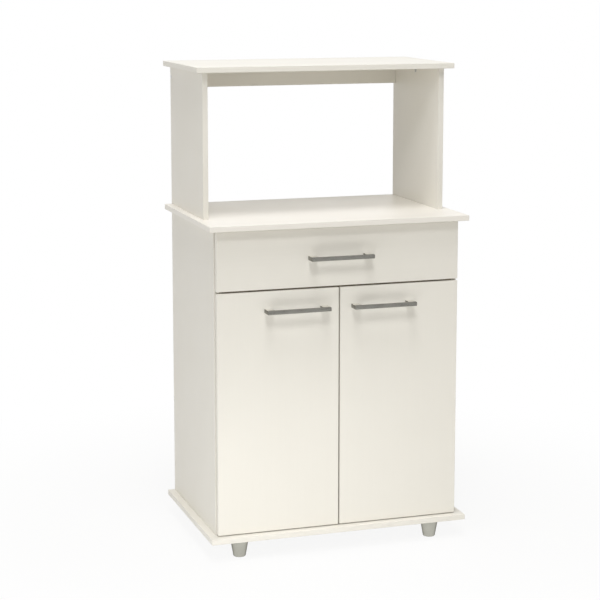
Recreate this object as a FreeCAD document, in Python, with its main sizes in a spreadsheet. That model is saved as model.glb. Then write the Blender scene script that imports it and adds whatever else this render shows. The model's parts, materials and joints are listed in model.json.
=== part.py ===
import FreeCAD, Part
import math
import os
import Sketcher

# A flat-pack microwave cart: a cabinet with two doors and a drawer on four fixed feet,
# and a hutch above the worktop that leaves an open bay for the oven.
# Millimetres. +Z is up and the front looks along -Y. The origin is on the floor, in the
# middle of the cart's footprint, and depths are measured forward from the flush back.

DOC = FreeCAD.newDocument("microwave_cart")
SHEET = DOC.addObject("Spreadsheet::Sheet", "Sizes")

SIZES = {
    # boards
    "board": 12,
    "panel_width": 600,
    "base_depth": 400,
    "worktop_depth": 400,
    "shelf_depth": 305,
    "side_inset": 17,
    "board_round": 0.8,
    "foot_height": 42,
    "cabinet_height": 680,
    "hutch_height": 322,
    "hutch_setback": 20,
    "hutch_rail_height": 50,
    "back_board": 3,
    "groove_depth": 5,
    "groove_inset": 8,
    "groove_play": 0.4,
    "front_rail_depth": 60,
    "rail_cam_inset": 18,
    "rail_dowel_inset": 42,
    "inner_shelf_setback": 36,
    "inner_shelf_rise": 250,
    "inner_shelf_play": 1,
    # fronts
    "front_board": 12,
    "front_setback": 18,
    "front_standoff": 3,
    "front_reveal": 2,
    "door_lift": 2,
    "door_gap": 3,
    "middle_gap": 4,
    "top_gap": 3,
    "drawer_front_height": 130,
    # handles
    "handle_length": 146,
    "handle_height": 9,
    "handle_reach": 27.5,
    "handle_bar": 8,
    "handle_post": 18,
    "handle_round": 2,
    "handle_inner_round": 3,
    "handle_drop": 43,
    "handle_margin": 26,
    # drawer box and its roller runners
    "drawer_board": 12,
    "drawer_side_height": 86,
    "drawer_lift": 10,
    "drawer_bottom_board": 3,
    "drawer_bottom_rise": 10,
    "drawer_cam_rise": 36,
    "drawer_dowel_rise": 64,
    "drawer_screw_rise": 30,
    "drawer_screw_pitch": 36,
    "runner_space": 12.5,
    "runner_length": 300,
    "runner_setback": 7,
    "runner_sheet": 1,
    "runner_play": 0.3,
    "runner_flange": 9,
    "roller_radius": 8,
    "roller_width": 6,
    "roller_pin": 2,
    "roller_stand_off": 1,
    "roller_pin_head": 3.4,
    "roller_pin_cap": 0.8,
    "roller_side_play": 0.2,
    "roller_inset": 14,
    "lip_gap": 1,
    "runner_screw_inset": 45,
    "runner_screw_pitch": 95,
    # feet
    "foot_top_radius": 21,
    "foot_floor_radius": 13.5,
    "foot_round": 2.5,
    "foot_inset_x": 73,
    "foot_inset_y": 38,
    "foot_well_radius": 6,
    "foot_screw_length": 26,
    "foot_screw_bite": 9,
    # fasteners
    "dowel_radius": 3,
    "dowel_length": 24,
    "dowel_bite": 8,
    "dowel_chamfer": 0.8,
    "end_play": 0.4,
    "cabinet_dowel_inset": 30,
    "cabinet_cam_inset": 75,
    "hutch_dowel_gap": 12.5,
    "hutch_screw_gap": 17.5,
    "fit_play": 0.06,
    "cam_radius": 6,
    "cam_depth": 9.5,
    "cam_setback": 11,
    "bolt_radius": 2.5,
    "bolt_bite": 8,
    "bolt_neck": 0.9,
    "bolt_head": 2.5,
    "cam_slot": 1.4,
    "screw_radius": 2.2,
    "screw_head_radius": 4.2,
    "screw_length": 40,
    "pan_head": 2.2,
    "handle_screw_length": 26,
    "small_screw_radius": 1.6,
    "small_screw_head": 3.2,
    "small_pan_head": 1.2,
    "small_screw_length": 10,
    "pin_radius": 2.5,
    "pin_bite": 8,
    "pin_reach": 9,
    "pin_collar_radius": 3.6,
    "pin_collar": 0.7,
    "pin_hole_pitch": 32,
    "pin_inset_back": 50,
    "pin_inset_front": 77,
    # concealed hinges, in plan: u from the side's inner face, v forward of its front edge
    "hinge_inset": 90,
    "arm_pivot_u": 16.99,
    "arm_pivot_v": -11.52,
    "nose_pivot_u": 5.97,
    "nose_pivot_v": 9.51,
    "cup_outer_pivot_u": -1.83,
    "cup_outer_pivot_v": 6.27,
    "cup_inner_pivot_u": -0.05,
    "cup_inner_pivot_v": 9.4,
    "cup_radius": 13,
    "cup_depth": 10.5,
    "cup_wall": 0.6,
    "cup_centre_u": 5.6,
    "ear_reach": 17,
    "ear_radius": 5,
    "ear_sheet": 0.8,
    "link_sheet": 1.2,
    "link_half_width": 1.5,
    "link_gap": 0.3,
    "link_elbow": 6.3,
    "eye_radius": 1.7,
    "hinge_pin_radius": 0.8,
    "inner_pin_radius": 0.7,
    "open_pivot_play": 1,
    "open_eye_wall": 0.7,
    "neck_root_v": -5,
    "neck_u": 11,
    "neck_bend_v": -4,
    "nose_half_thickness": 1.4,
    "arm_eye_radius": 2.2,
    "arm_back_v": -60,
    "arm_top_u": 20.7,
    "arm_foot_u": 8,
    "plate_sheet": 1.8,
    "plate_half_height": 16,
    "plate_back_v": -62,
    "plate_front_v": -26,
    "plate_screw_margin": 5,
}


class Size:
    """A length that carries its number and the sheet formula that gives it."""

    def __init__(self, value, formula):
        self.value = value
        self.formula = formula

    def __add__(self, other):
        other = as_size(other)
        return Size(self.value + other.value, f"({self.formula} + {other.formula})")

    def __sub__(self, other):
        other = as_size(other)
        return Size(self.value - other.value, f"({self.formula} - {other.formula})")

    def __mul__(self, factor):
        return Size(self.value * factor, f"({self.formula} * ({factor}))")

    def __truediv__(self, factor):
        return Size(self.value / factor, f"({self.formula} / {factor})")

    def __neg__(self):
        return self * -1

    def __radd__(self, other):
        return as_size(other) + self

    def __rsub__(self, other):
        return as_size(other) - self

    def __rmul__(self, factor):
        return self * factor


def as_size(thing):
    """Plain numbers can stand beside sheet sizes in a sum."""
    if isinstance(thing, Size):
        return thing
    return Size(float(thing), f"({float(thing)})")


def fill_sheet():
    """One row for each driving size: its name, its number and its alias."""
    for row, (name, value) in enumerate(SIZES.items(), start=1):
        SHEET.set(f"A{row}", name)
        SHEET.set(f"B{row}", str(value))
        SHEET.setAlias(f"B{row}", name)
    DOC.recompute()


def size(name):
    return Size(float(SIZES[name]), f"Sizes.{name}")


fill_sheet()
PARTS = []
CUTS = []
TOUCH = 0.01

# ---------------------------------------------------------------- shared sizes
BOARD = size("board")
HALF_BOARD = BOARD / 2
HALF_WIDTH = size("panel_width") / 2
SIDE_OUTER = HALF_WIDTH - size("side_inset")
SIDE_INNER = SIDE_OUTER - BOARD
SIDE_MIDDLE = SIDE_INNER + HALF_BOARD

BASE_UNDER = size("foot_height")
BASE_TOP = BASE_UNDER + BOARD
WORKTOP_UNDER = BASE_TOP + size("cabinet_height")
WORKTOP_TOP = WORKTOP_UNDER + BOARD
SHELF_UNDER = WORKTOP_TOP + size("hutch_height")

FRONT_BOARD = size("front_board")
FRONT_FACE = size("worktop_depth") - size("front_setback")
FRONT_BACK = FRONT_FACE - FRONT_BOARD
SIDE_DEPTH = FRONT_BACK - size("front_standoff")
HUTCH_DEPTH = size("shelf_depth") - size("hutch_setback")
FRONT_HALF = SIDE_OUTER - size("front_reveal")
HANDLE_FACE = FRONT_FACE + size("handle_reach")
BACK = HANDLE_FACE / 2

DOOR_BOTTOM = BASE_TOP + size("door_lift")
DRAWER_FRONT_TOP = WORKTOP_UNDER - size("top_gap")
DRAWER_FRONT_BOTTOM = DRAWER_FRONT_TOP - size("drawer_front_height")
DOOR_TOP = DRAWER_FRONT_BOTTOM - size("middle_gap")
DOOR_HEIGHT = DOOR_TOP - DOOR_BOTTOM

FIT = size("fit_play")
DOWEL_HOLE = size("dowel_radius") + FIT
BOLT_HOLE = size("bolt_radius") + FIT
CAM_HOLE = size("cam_radius") + FIT
SCREW_HOLE = size("screw_radius") + FIT
SMALL_HOLE = size("small_screw_radius") + FIT


# ---------------------------------------------------------------- drawing helpers
def start_body(label, x=0, y=BACK, z=0):
    """A named piece, placed in the cart by the sheet."""
    body = DOC.addObject("PartDesign::Body", label)
    body.Label = label
    for axis, place in (("x", x), ("y", y), ("z", z)):
        body.setExpression(f"Placement.Base.{axis}", as_size(place).formula)
    PARTS.append(body)
    return body


def start_sketch(body, role, level=0):
    """A sketch on one of the body's own planes, moved along its normal by level.

    XY looks up, YZ looks to +X, and XZ looks forward, to -Y.
    """
    sketch = body.newObject("Sketcher::SketchObject", f"{body.Name}_{role}_sketch")
    for feature in body.Origin.OriginFeatures:
        if feature.Role == f"{role}_Plane":
            sketch.AttachmentSupport = [(feature, "")]
    sketch.MapMode = "FlatFace"
    sketch.setExpression("AttachmentOffset.Base.z", as_size(level).formula)
    return sketch


def bind(sketch, constraint, length):
    """Adds a constraint whose value follows the sheet."""
    index = sketch.addConstraint(constraint)
    name = f"c{index}"
    sketch.renameConstraint(index, name)
    sketch.setExpression(f"Constraints.{name}", length.formula)


def pin_point(sketch, edge, end, x, y):
    """Holds one point of an edge at x, y from the sketch's origin."""
    bind(sketch, Sketcher.Constraint("DistanceX", -1, 1, edge, end, x.value), x)
    bind(sketch, Sketcher.Constraint("DistanceY", -1, 1, edge, end, y.value), y)


def draw_polygon(sketch, corners):
    corners = [(as_size(x), as_size(y)) for x, y in corners]
    points = [FreeCAD.Vector(x.value, y.value, 0) for x, y in corners]
    count = len(corners)
    first = sketch.GeometryCount
    for i in range(count):
        sketch.addGeometry(Part.LineSegment(points[i], points[(i + 1) % count]))
    for i in range(count):
        sketch.addConstraint(
            Sketcher.Constraint("Coincident", first + i, 2, first + (i + 1) % count, 1))
    for i, (x, y) in enumerate(corners):
        pin_point(sketch, first + i, 1, x, y)


def draw_rectangle(sketch, low, high):
    draw_polygon(sketch, [low, (high[0], low[1]), high, (low[0], high[1])])


def draw_circle(sketch, x, y, radius):
    x, y, radius = as_size(x), as_size(y), as_size(radius)
    centre = FreeCAD.Vector(x.value, y.value, 0)
    edge = sketch.addGeometry(Part.Circle(centre, FreeCAD.Vector(0, 0, 1), radius.value))
    pin_point(sketch, edge, 3, x, y)
    bind(sketch, Sketcher.Constraint("Radius", edge, radius.value), radius)


def pad(body, sketch, thickness, toward=1):
    """Adds material along the sketch's normal, or against it with toward=-1."""
    feature = body.newObject("PartDesign::Pad", f"{body.Name}_pad")
    feature.Profile = sketch
    feature.setExpression("Length", as_size(thickness).formula)
    feature.Reversed = toward < 0
    sketch.Visibility = False
    return feature


def pocket(body, sketch, depth, toward):
    """Cuts along the sketch's normal, or against it with toward=-1."""
    feature = body.newObject("PartDesign::Pocket", f"{body.Name}_pocket")
    feature.Profile = sketch
    feature.setExpression("Length", as_size(depth).formula)
    feature.Reversed = toward > 0
    CUTS.append(feature)
    return feature


def revolve(body, sketch):
    """Turns a half profile round the sketch's own vertical axis."""
    feature = body.newObject("PartDesign::Revolution", f"{body.Name}_turned")
    feature.Profile = sketch
    feature.ReferenceAxis = (sketch, ["V_Axis"])
    feature.Angle = 360
    return feature


def slab(body, role, low, high, level, thickness, toward=1):
    """A rectangular board."""
    sketch = start_sketch(body, role, level)
    draw_rectangle(sketch, low, high)
    return pad(body, sketch, thickness, toward)


def ease(body, feature, radius, wanted=None):
    """Rounds the edges of a feature that the test wanted picks, or all of them."""
    DOC.recompute()
    names = []
    for number, edge in enumerate(feature.Shape.Edges, start=1):
        if wanted is None or wanted(edge):
            names.append(f"Edge{number}")
    rounded = body.newObject("PartDesign::Fillet", f"{body.Name}_round")
    rounded.Base = (feature, names)
    rounded.setExpression("Radius", as_size(radius).formula)
    return rounded


def drill(body, role, level, spots, radius, depth, toward):
    """Round blind holes from one plane."""
    sketch = start_sketch(body, role, level)
    for x, y in spots:
        draw_circle(sketch, x, y, radius)
    return pocket(body, sketch, depth, toward)


def rout(body, role, level, low, high, depth, toward):
    """A straight groove or a rectangular recess."""
    sketch = start_sketch(body, role, level)
    draw_rectangle(sketch, low, high)
    return pocket(body, sketch, depth, toward)


def countersink(body, role, level, spots, depth, toward):
    """Through holes for the long screws, with a seat for each head."""
    sketch = start_sketch(body, role, level)
    for x, y in spots:
        draw_circle(sketch, x, y, SCREW_HOLE)
    DOC.recompute()
    hole = body.newObject("PartDesign::Hole", f"{body.Name}_countersink")
    hole.Profile = sketch
    hole.ThreadType = "None"
    hole.DepthType = "Dimension"
    hole.DrillPoint = "Flat"
    hole.HoleCutType = "Countersink"
    hole.HoleCutCountersinkAngle = 90
    hole.setExpression("Diameter", (SCREW_HOLE * 2).formula)
    hole.setExpression("HoleCutDiameter", ((size("screw_head_radius") + FIT) * 2).formula)
    hole.setExpression("Depth", as_size(depth).formula)
    hole.Reversed = toward > 0
    CUTS.append(hole)
    return hole


def both(x, *distances):
    """The same places on the left and the right, at these depths from the back."""
    return [(hand * x, -distance) for hand in (-1, 1) for distance in distances]


def turned_solid(profile):
    """A small turned part along +Z from (radius, height) points."""
    points = [FreeCAD.Vector(as_size(r).value, 0, as_size(h).value) for r, h in profile]
    face = Part.Face(Part.makePolygon(points + points[:1]))
    return face.revolve(FreeCAD.Vector(0, 0, 0), FreeCAD.Vector(0, 0, 1), 360)


def group(label, solid, places):
    """Identical fasteners as one node: places are (x, y, z, direction of +Z)."""
    shapes = []
    for x, y, z, direction in places:
        copy = solid.copy()
        turn = FreeCAD.Rotation(FreeCAD.Vector(0, 0, 1), FreeCAD.Vector(*direction))
        spot = FreeCAD.Vector(as_size(x).value, as_size(y).value, as_size(z).value)
        copy.Placement = FreeCAD.Placement(spot, turn)
        shapes.append(copy)
    return shape_part(label, Part.Compound(shapes))


def shape_part(label, shape):
    """A piece whose shape is made directly, placed at the flush back of the cart."""
    feature = DOC.addObject("Part::Feature", label)
    feature.Label = label
    feature.Shape = shape
    feature.Placement = FreeCAD.Placement(FreeCAD.Vector(0, BACK.value, 0), FreeCAD.Rotation())
    PARTS.append(feature)
    return feature


# ---------------------------------------------------------------- boards
RAIL_MIDDLE = DOOR_TOP + size("middle_gap") / 2
RAIL_UNDER = RAIL_MIDDLE - HALF_BOARD
RAIL_BACK = SIDE_DEPTH - size("front_rail_depth")
RAIL_CAM = SIDE_DEPTH - size("rail_cam_inset")
RAIL_DOWEL = SIDE_DEPTH - size("rail_dowel_inset")
GROOVE_FRONT = size("groove_inset") + size("back_board") + size("groove_play")
CABINET_DOWELS = (size("cabinet_dowel_inset"), SIDE_DEPTH - size("cabinet_dowel_inset"))
CABINET_CAMS = (size("cabinet_cam_inset"), SIDE_DEPTH - size("cabinet_cam_inset"))
HUTCH_MIDDLE = HUTCH_DEPTH / 2
HUTCH_DOWEL_BACK = CABINET_DOWELS[0] + size("hutch_dowel_gap")
HUTCH_DOWELS = (HUTCH_DOWEL_BACK, HUTCH_DEPTH - HUTCH_DOWEL_BACK)
HUTCH_SCREW_BACK = CABINET_CAMS[0] + size("hutch_screw_gap")
HUTCH_SCREWS = (HUTCH_SCREW_BACK, HUTCH_DEPTH - HUTCH_SCREW_BACK)
DOWEL_BITE = size("dowel_bite") + size("end_play")
DOWEL_REACH = size("dowel_length") - size("dowel_bite") + size("end_play")
BOLT_BITE = size("bolt_bite") + size("end_play")
SCREW_BITE = size("screw_length") - BOARD + size("end_play")
FOOT_X = HALF_WIDTH - size("foot_inset_x")
FOOT_DEPTHS = (size("foot_inset_y"), size("base_depth") - size("foot_inset_y"))
PIN_RISES = [size("inner_shelf_rise") - size("pin_radius") - FIT + size("pin_hole_pitch") * step
             for step in (-2, -1, 0, 1, 2)]
PIN_DEPTHS = (size("pin_inset_back"), SIDE_DEPTH - size("pin_inset_front"))


def back_groove(body, level, toward):
    """The slot along a horizontal board that holds the thin back."""
    half = SIDE_INNER + size("groove_depth")
    low = (-half, -GROOVE_FRONT)
    high = (half, -size("groove_inset"))
    rout(body, "XY", level, low, high, size("groove_depth"), toward)


def make_base():
    body = start_body("base_panel", z=BASE_UNDER)
    board = slab(body, "XY", (-HALF_WIDTH, -size("base_depth")), (HALF_WIDTH, 0), 0, BOARD)
    ease(body, board, size("board_round"))
    back_groove(body, BOARD, -1)
    drill(body, "XY", BOARD, both(SIDE_MIDDLE, *CABINET_DOWELS), DOWEL_HOLE, DOWEL_BITE, -1)
    drill(body, "XY", 0, both(FOOT_X, *FOOT_DEPTHS), SCREW_HOLE,
          size("foot_screw_bite") + size("end_play"), 1)
    countersink(body, "XY", 0, both(SIDE_MIDDLE, *CABINET_CAMS), BOARD, 1)


def make_worktop():
    body = start_body("worktop", z=WORKTOP_UNDER)
    board = slab(body, "XY", (-HALF_WIDTH, -size("worktop_depth")), (HALF_WIDTH, 0), 0, BOARD)
    ease(body, board, size("board_round"))
    back_groove(body, 0, 1)
    drill(body, "XY", 0, both(SIDE_MIDDLE, *CABINET_DOWELS), DOWEL_HOLE, DOWEL_BITE, 1)
    drill(body, "XY", BOARD, both(SIDE_MIDDLE, *HUTCH_DOWELS), DOWEL_HOLE, DOWEL_BITE, -1)
    drill(body, "XY", 0, both(SIDE_MIDDLE, *CABINET_CAMS), BOLT_HOLE, BOLT_BITE, 1)
    countersink(body, "XY", 0, both(SIDE_MIDDLE, *HUTCH_SCREWS), BOARD, 1)


def make_cabinet_side(name, hand):
    """A side of the cabinet: hand is -1 on the left, and the inner face looks the other way."""
    body = start_body(f"cabinet_side_{name}", x=hand * SIDE_MIDDLE, z=BASE_TOP)
    height = size("cabinet_height")
    board = slab(body, "YZ", (-SIDE_DEPTH, 0), (0, height), -HALF_BOARD, BOARD)
    ease(body, board, size("board_round"))
    inner = -hand * HALF_BOARD
    rout(body, "YZ", inner, (-GROOVE_FRONT, 0), (-size("groove_inset"), height),
         size("groove_depth"), hand)
    up_spots = [(0, -depth) for depth in CABINET_DOWELS]
    drill(body, "XY", 0, up_spots, DOWEL_HOLE, DOWEL_REACH, 1)
    drill(body, "XY", height, up_spots, DOWEL_HOLE, DOWEL_REACH, -1)
    bolt_spots = [(0, -depth) for depth in CABINET_CAMS]
    drill(body, "XY", 0, bolt_spots, SCREW_HOLE, SCREW_BITE, 1)
    drill(body, "XY", height, bolt_spots, BOLT_HOLE, size("cam_setback"), -1)
    cam_spots = [(-depth, height - size("cam_setback")) for depth in CABINET_CAMS]
    drill(body, "YZ", inner, cam_spots, CAM_HOLE, size("cam_depth") + FIT, hand)
    pins = [(-depth, rise) for depth in PIN_DEPTHS for rise in PIN_RISES]
    drill(body, "YZ", inner, pins, size("pin_radius") + FIT, size("pin_bite") + size("end_play"), hand)
    rail_rise = RAIL_MIDDLE - BASE_TOP
    drill(body, "YZ", inner, [(-RAIL_CAM, rail_rise)], BOLT_HOLE, BOLT_BITE, hand)
    drill(body, "YZ", inner, [(-RAIL_DOWEL, rail_rise)], DOWEL_HOLE, DOWEL_BITE, hand)
    small = [(-depth, height_of - BASE_TOP) for depth, height_of in SIDE_SMALL_SCREWS]
    drill(body, "YZ", inner, small, SMALL_HOLE, SMALL_BITE, hand)


def make_hutch_side(name, hand):
    body = start_body(f"hutch_side_{name}", x=hand * SIDE_MIDDLE, z=WORKTOP_TOP)
    height = size("hutch_height")
    board = slab(body, "YZ", (-HUTCH_DEPTH, 0), (0, height), -HALF_BOARD, BOARD)
    ease(body, board, size("board_round"))
    dowel_spots = [(0, -depth) for depth in HUTCH_DOWELS]
    drill(body, "XY", 0, dowel_spots, DOWEL_HOLE, DOWEL_REACH, 1)
    drill(body, "XY", height, dowel_spots, DOWEL_HOLE, DOWEL_REACH, -1)
    drill(body, "XY", 0, [(0, -depth) for depth in HUTCH_SCREWS], SCREW_HOLE, SCREW_BITE, 1)
    drill(body, "XY", height, [(0, -HUTCH_MIDDLE)], BOLT_HOLE, size("cam_setback"), -1)
    drill(body, "YZ", -hand * HALF_BOARD, [(-HUTCH_MIDDLE, height - size("cam_setback"))],
          CAM_HOLE, size("cam_depth") + FIT, hand)
    rail_rise = height - size("hutch_rail_height") / 2
    countersink(body, "YZ", hand * HALF_BOARD, [(-HALF_BOARD, rail_rise)], BOARD, -hand)


def make_top_shelf():
    body = start_body("top_shelf", z=SHELF_UNDER)
    board = slab(body, "XY", (-HALF_WIDTH, -size("shelf_depth")), (HALF_WIDTH, 0), 0, BOARD)
    ease(body, board, size("board_round"))
    drill(body, "XY", 0, both(SIDE_MIDDLE, *HUTCH_DOWELS), DOWEL_HOLE, DOWEL_BITE, 1)
    drill(body, "XY", 0, both(SIDE_MIDDLE, HUTCH_MIDDLE), BOLT_HOLE, BOLT_BITE, 1)


def make_hutch_rail():
    body = start_body("hutch_back_rail", z=SHELF_UNDER - size("hutch_rail_height"))
    slab(body, "XZ", (-SIDE_INNER, 0), (SIDE_INNER, size("hutch_rail_height")), 0, BOARD)
    for hand in (-1, 1):
        spot = [(-HALF_BOARD, size("hutch_rail_height") / 2)]
        drill(body, "YZ", hand * SIDE_INNER, spot, SCREW_HOLE, SCREW_BITE, -hand)


def make_cabinet_back():
    reach = size("groove_depth") - size("groove_play")
    body = start_body("cabinet_back_panel", z=BASE_TOP - reach)
    half = SIDE_INNER + reach
    level = size("groove_inset") + size("groove_play") / 2
    slab(body, "XZ", (-half, 0), (half, size("cabinet_height") + reach * 2), level, size("back_board"))


def make_inner_shelf():
    body = start_body("inner_shelf", z=BASE_TOP + size("inner_shelf_rise"))
    half = SIDE_INNER - size("inner_shelf_play")
    back = GROOVE_FRONT + size("inner_shelf_play")
    front = SIDE_DEPTH - size("inner_shelf_setback")
    slab(body, "XY", (-half, -front), (half, -back), 0, BOARD)


def make_front_rail():
    body = start_body("front_rail", z=RAIL_UNDER)
    slab(body, "XY", (-SIDE_INNER, -SIDE_DEPTH), (SIDE_INNER, -RAIL_BACK), 0, BOARD)
    drill(body, "XY", 0, both(SIDE_INNER - size("cam_setback"), RAIL_CAM), CAM_HOLE,
          size("cam_depth") + FIT, 1)
    for hand in (-1, 1):
        end = hand * SIDE_INNER
        drill(body, "YZ", end, [(-RAIL_CAM, HALF_BOARD)], BOLT_HOLE, size("cam_setback"), -hand)
        drill(body, "YZ", end, [(-RAIL_DOWEL, HALF_BOARD)], DOWEL_HOLE, DOWEL_REACH, -hand)


def make_foot(name, hand, depth):
    """A tapered foot with a well for its screw."""
    body = start_body(f"foot_{name}", x=hand * FOOT_X, y=BACK - depth)
    seat = BASE_UNDER + size("foot_screw_bite") - size("foot_screw_length")
    sketch = start_sketch(body, "XZ")
    draw_polygon(sketch, [
        (size("foot_well_radius"), 0),
        (size("foot_floor_radius"), 0),
        (size("foot_top_radius"), BASE_UNDER),
        (SCREW_HOLE, BASE_UNDER),
        (SCREW_HOLE, seat),
        (size("foot_well_radius"), seat),
    ])
    turned = revolve(body, sketch)
    floor_radius = size("foot_floor_radius").value

    def is_floor_rim(edge):
        box = edge.BoundBox
        return box.ZMax < TOUCH and box.XLength > floor_radius

    ease(body, turned, size("foot_round"), is_floor_rim)


# ---------------------------------------------------------------- fronts and handles
HANDLE_HALF = size("handle_length") / 2
HANDLE_SCREW_X = HANDLE_HALF - size("handle_post") / 2
DOOR_HANDLE_X = size("door_gap") / 2 + size("handle_margin") + HANDLE_HALF
DOOR_HANDLE_Z = DOOR_TOP - size("handle_drop")
DRAWER_HANDLE_Z = DRAWER_FRONT_BOTTOM + size("drawer_front_height") / 2
HINGE_HEIGHTS = (DOOR_BOTTOM + size("hinge_inset"), DOOR_TOP - size("hinge_inset"))
CUP_X = SIDE_INNER - size("cup_centre_u")


def make_handle(label, x, z):
    """A bar handle of one piece: two posts and a bar, with a screw hole in each post."""
    body = start_body(label, x=x, z=z - size("handle_height") / 2)
    bar_back = HANDLE_FACE - size("handle_bar")
    post_inner = HANDLE_HALF - size("handle_post")
    sketch = start_sketch(body, "XY")
    draw_polygon(sketch, [
        (-HANDLE_HALF, -FRONT_FACE),
        (-HANDLE_HALF, -HANDLE_FACE),
        (HANDLE_HALF, -HANDLE_FACE),
        (HANDLE_HALF, -FRONT_FACE),
        (post_inner, -FRONT_FACE),
        (post_inner, -bar_back),
        (-post_inner, -bar_back),
        (-post_inner, -FRONT_FACE),
    ])
    block = pad(body, sketch, size("handle_height"))
    inner = (post_inner.value, bar_back.value)

    def is_inner_corner(edge):
        box = edge.BoundBox
        upright = box.XLength < TOUCH and box.YLength < TOUCH
        return upright and abs(abs(box.XMin) - inner[0]) < TOUCH and abs(box.YMin + inner[1]) < TOUCH

    rounded = ease(body, block, size("handle_inner_round"), is_inner_corner)
    face = HANDLE_FACE.value

    def is_front_edge(edge):
        return abs(edge.BoundBox.YMin + face) < TOUCH and abs(edge.BoundBox.YMax + face) < TOUCH

    ease(body, rounded, size("handle_round"), is_front_edge)
    spots = [(hand * HANDLE_SCREW_X, size("handle_height") / 2) for hand in (-1, 1)]
    depth = size("handle_screw_length") - FRONT_BOARD + size("end_play")
    drill(body, "XZ", FRONT_FACE, spots, SCREW_HOLE, depth, 1)


def handle_holes(body, x, z):
    spots = [(x + hand * HANDLE_SCREW_X, z) for hand in (-1, 1)]
    drill(body, "XZ", FRONT_BACK, spots, SCREW_HOLE, FRONT_BOARD, 1)


def make_door(name, hand):
    body = start_body(f"{name}_door_panel", z=DOOR_BOTTOM)
    low = (hand * size("door_gap") / 2, 0)
    high = (hand * FRONT_HALF, DOOR_HEIGHT)
    board = slab(body, "XZ", low, high, FRONT_BACK, FRONT_BOARD)
    ease(body, board, size("board_round"))
    cups = [(hand * CUP_X, height - DOOR_BOTTOM) for height in HINGE_HEIGHTS]
    drill(body, "XZ", FRONT_BACK, cups, size("cup_radius") + FIT, size("cup_depth") + FIT, 1)
    ears = [(x, rise + side * size("ear_reach")) for x, rise in cups for side in (-1, 1)]
    drill(body, "XZ", FRONT_BACK, ears, SMALL_HOLE, CUP_SCREW_BITE, 1)
    handle_holes(body, hand * DOOR_HANDLE_X, DOOR_HANDLE_Z - DOOR_BOTTOM)


# ---------------------------------------------------------------- drawer
DRAWER_HALF = SIDE_INNER - size("runner_space")
DRAWER_INNER = DRAWER_HALF - size("drawer_board")
DRAWER_UNDER = DRAWER_FRONT_BOTTOM + size("drawer_lift")
RUNNER_FRONT = SIDE_DEPTH - size("runner_setback")
RUNNER_BACK = RUNNER_FRONT - size("runner_length")
DRAWER_BACK = RUNNER_BACK
BOTTOM_RISE = size("drawer_bottom_rise")
BOTTOM_SLOT = size("drawer_bottom_board") + size("groove_play")
DRAWER_BACK_RISE = BOTTOM_RISE + BOTTOM_SLOT
DRAWER_SCREW_DEPTH = DRAWER_BACK + size("drawer_board") / 2
DRAWER_SCREW_RISES = (size("drawer_screw_rise"), size("drawer_screw_rise") + size("drawer_screw_pitch"))


def make_drawer_front():
    body = start_body("drawer_front", z=DRAWER_FRONT_BOTTOM)
    height = size("drawer_front_height")
    board = slab(body, "XZ", (-FRONT_HALF, 0), (FRONT_HALF, height), FRONT_BACK, FRONT_BOARD)
    ease(body, board, size("board_round"))
    slot = size("drawer_lift") + BOTTOM_RISE
    half = DRAWER_INNER + size("groove_depth")
    rout(body, "XZ", FRONT_BACK, (-half, slot), (half, slot + BOTTOM_SLOT), size("groove_depth"), 1)
    middle = DRAWER_HALF - size("drawer_board") / 2
    bolts = [(hand * middle, size("drawer_lift") + size("drawer_cam_rise")) for hand in (-1, 1)]
    drill(body, "XZ", FRONT_BACK, bolts, BOLT_HOLE, BOLT_BITE, 1)
    dowels = [(hand * middle, size("drawer_lift") + size("drawer_dowel_rise")) for hand in (-1, 1)]
    drill(body, "XZ", FRONT_BACK, dowels, DOWEL_HOLE, DOWEL_BITE, 1)
    handle_holes(body, 0, DRAWER_HANDLE_Z - DRAWER_FRONT_BOTTOM)


def make_drawer_side(name, hand):
    body = start_body(f"drawer_side_{name}", x=hand * DRAWER_INNER, z=DRAWER_UNDER)
    thickness = size("drawer_board")
    low = (-FRONT_BACK, 0)
    high = (-DRAWER_BACK, size("drawer_side_height"))
    slab(body, "YZ", low, high, 0, thickness, hand)
    rout(body, "YZ", 0, (-FRONT_BACK, BOTTOM_RISE), (-DRAWER_BACK, BOTTOM_RISE + BOTTOM_SLOT),
         size("groove_depth"), hand)
    cam = [(-FRONT_BACK + size("cam_setback"), size("drawer_cam_rise"))]
    drill(body, "YZ", 0, cam, CAM_HOLE, size("cam_depth") + FIT, hand)
    middle = hand * thickness / 2
    drill(body, "XZ", FRONT_BACK, [(middle, size("drawer_cam_rise"))], BOLT_HOLE,
          size("cam_setback"), -1)
    drill(body, "XZ", FRONT_BACK, [(middle, size("drawer_dowel_rise"))], DOWEL_HOLE, DOWEL_REACH, -1)
    small = [(-depth, DRAWER_RUNNER_Z - DRAWER_UNDER) for depth in RUNNER_SCREWS]
    drill(body, "YZ", hand * thickness, small, SMALL_HOLE, SMALL_BITE, -hand)
    spots = [(-DRAWER_SCREW_DEPTH, rise) for rise in DRAWER_SCREW_RISES]
    countersink(body, "YZ", hand * thickness, spots, thickness, -hand)


def make_drawer_back():
    body = start_body("drawer_back", z=DRAWER_UNDER + DRAWER_BACK_RISE)
    height = size("drawer_side_height") - DRAWER_BACK_RISE
    slab(body, "XZ", (-DRAWER_INNER, 0), (DRAWER_INNER, height), DRAWER_BACK, size("drawer_board"))
    for hand in (-1, 1):
        spots = [(-DRAWER_SCREW_DEPTH, rise - DRAWER_BACK_RISE) for rise in DRAWER_SCREW_RISES]
        depth = size("screw_length") - size("drawer_board") + size("end_play")
        drill(body, "YZ", hand * DRAWER_INNER, spots, SCREW_HOLE, depth, -hand)


def make_drawer_bottom():
    body = start_body("drawer_bottom", z=DRAWER_UNDER + BOTTOM_RISE + size("groove_play") / 2)
    reach = size("groove_depth") - size("groove_play")
    half = DRAWER_INNER + reach
    slab(body, "XY", (-half, -FRONT_BACK - reach), (half, -DRAWER_BACK), 0, size("drawer_bottom_board"))


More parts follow.
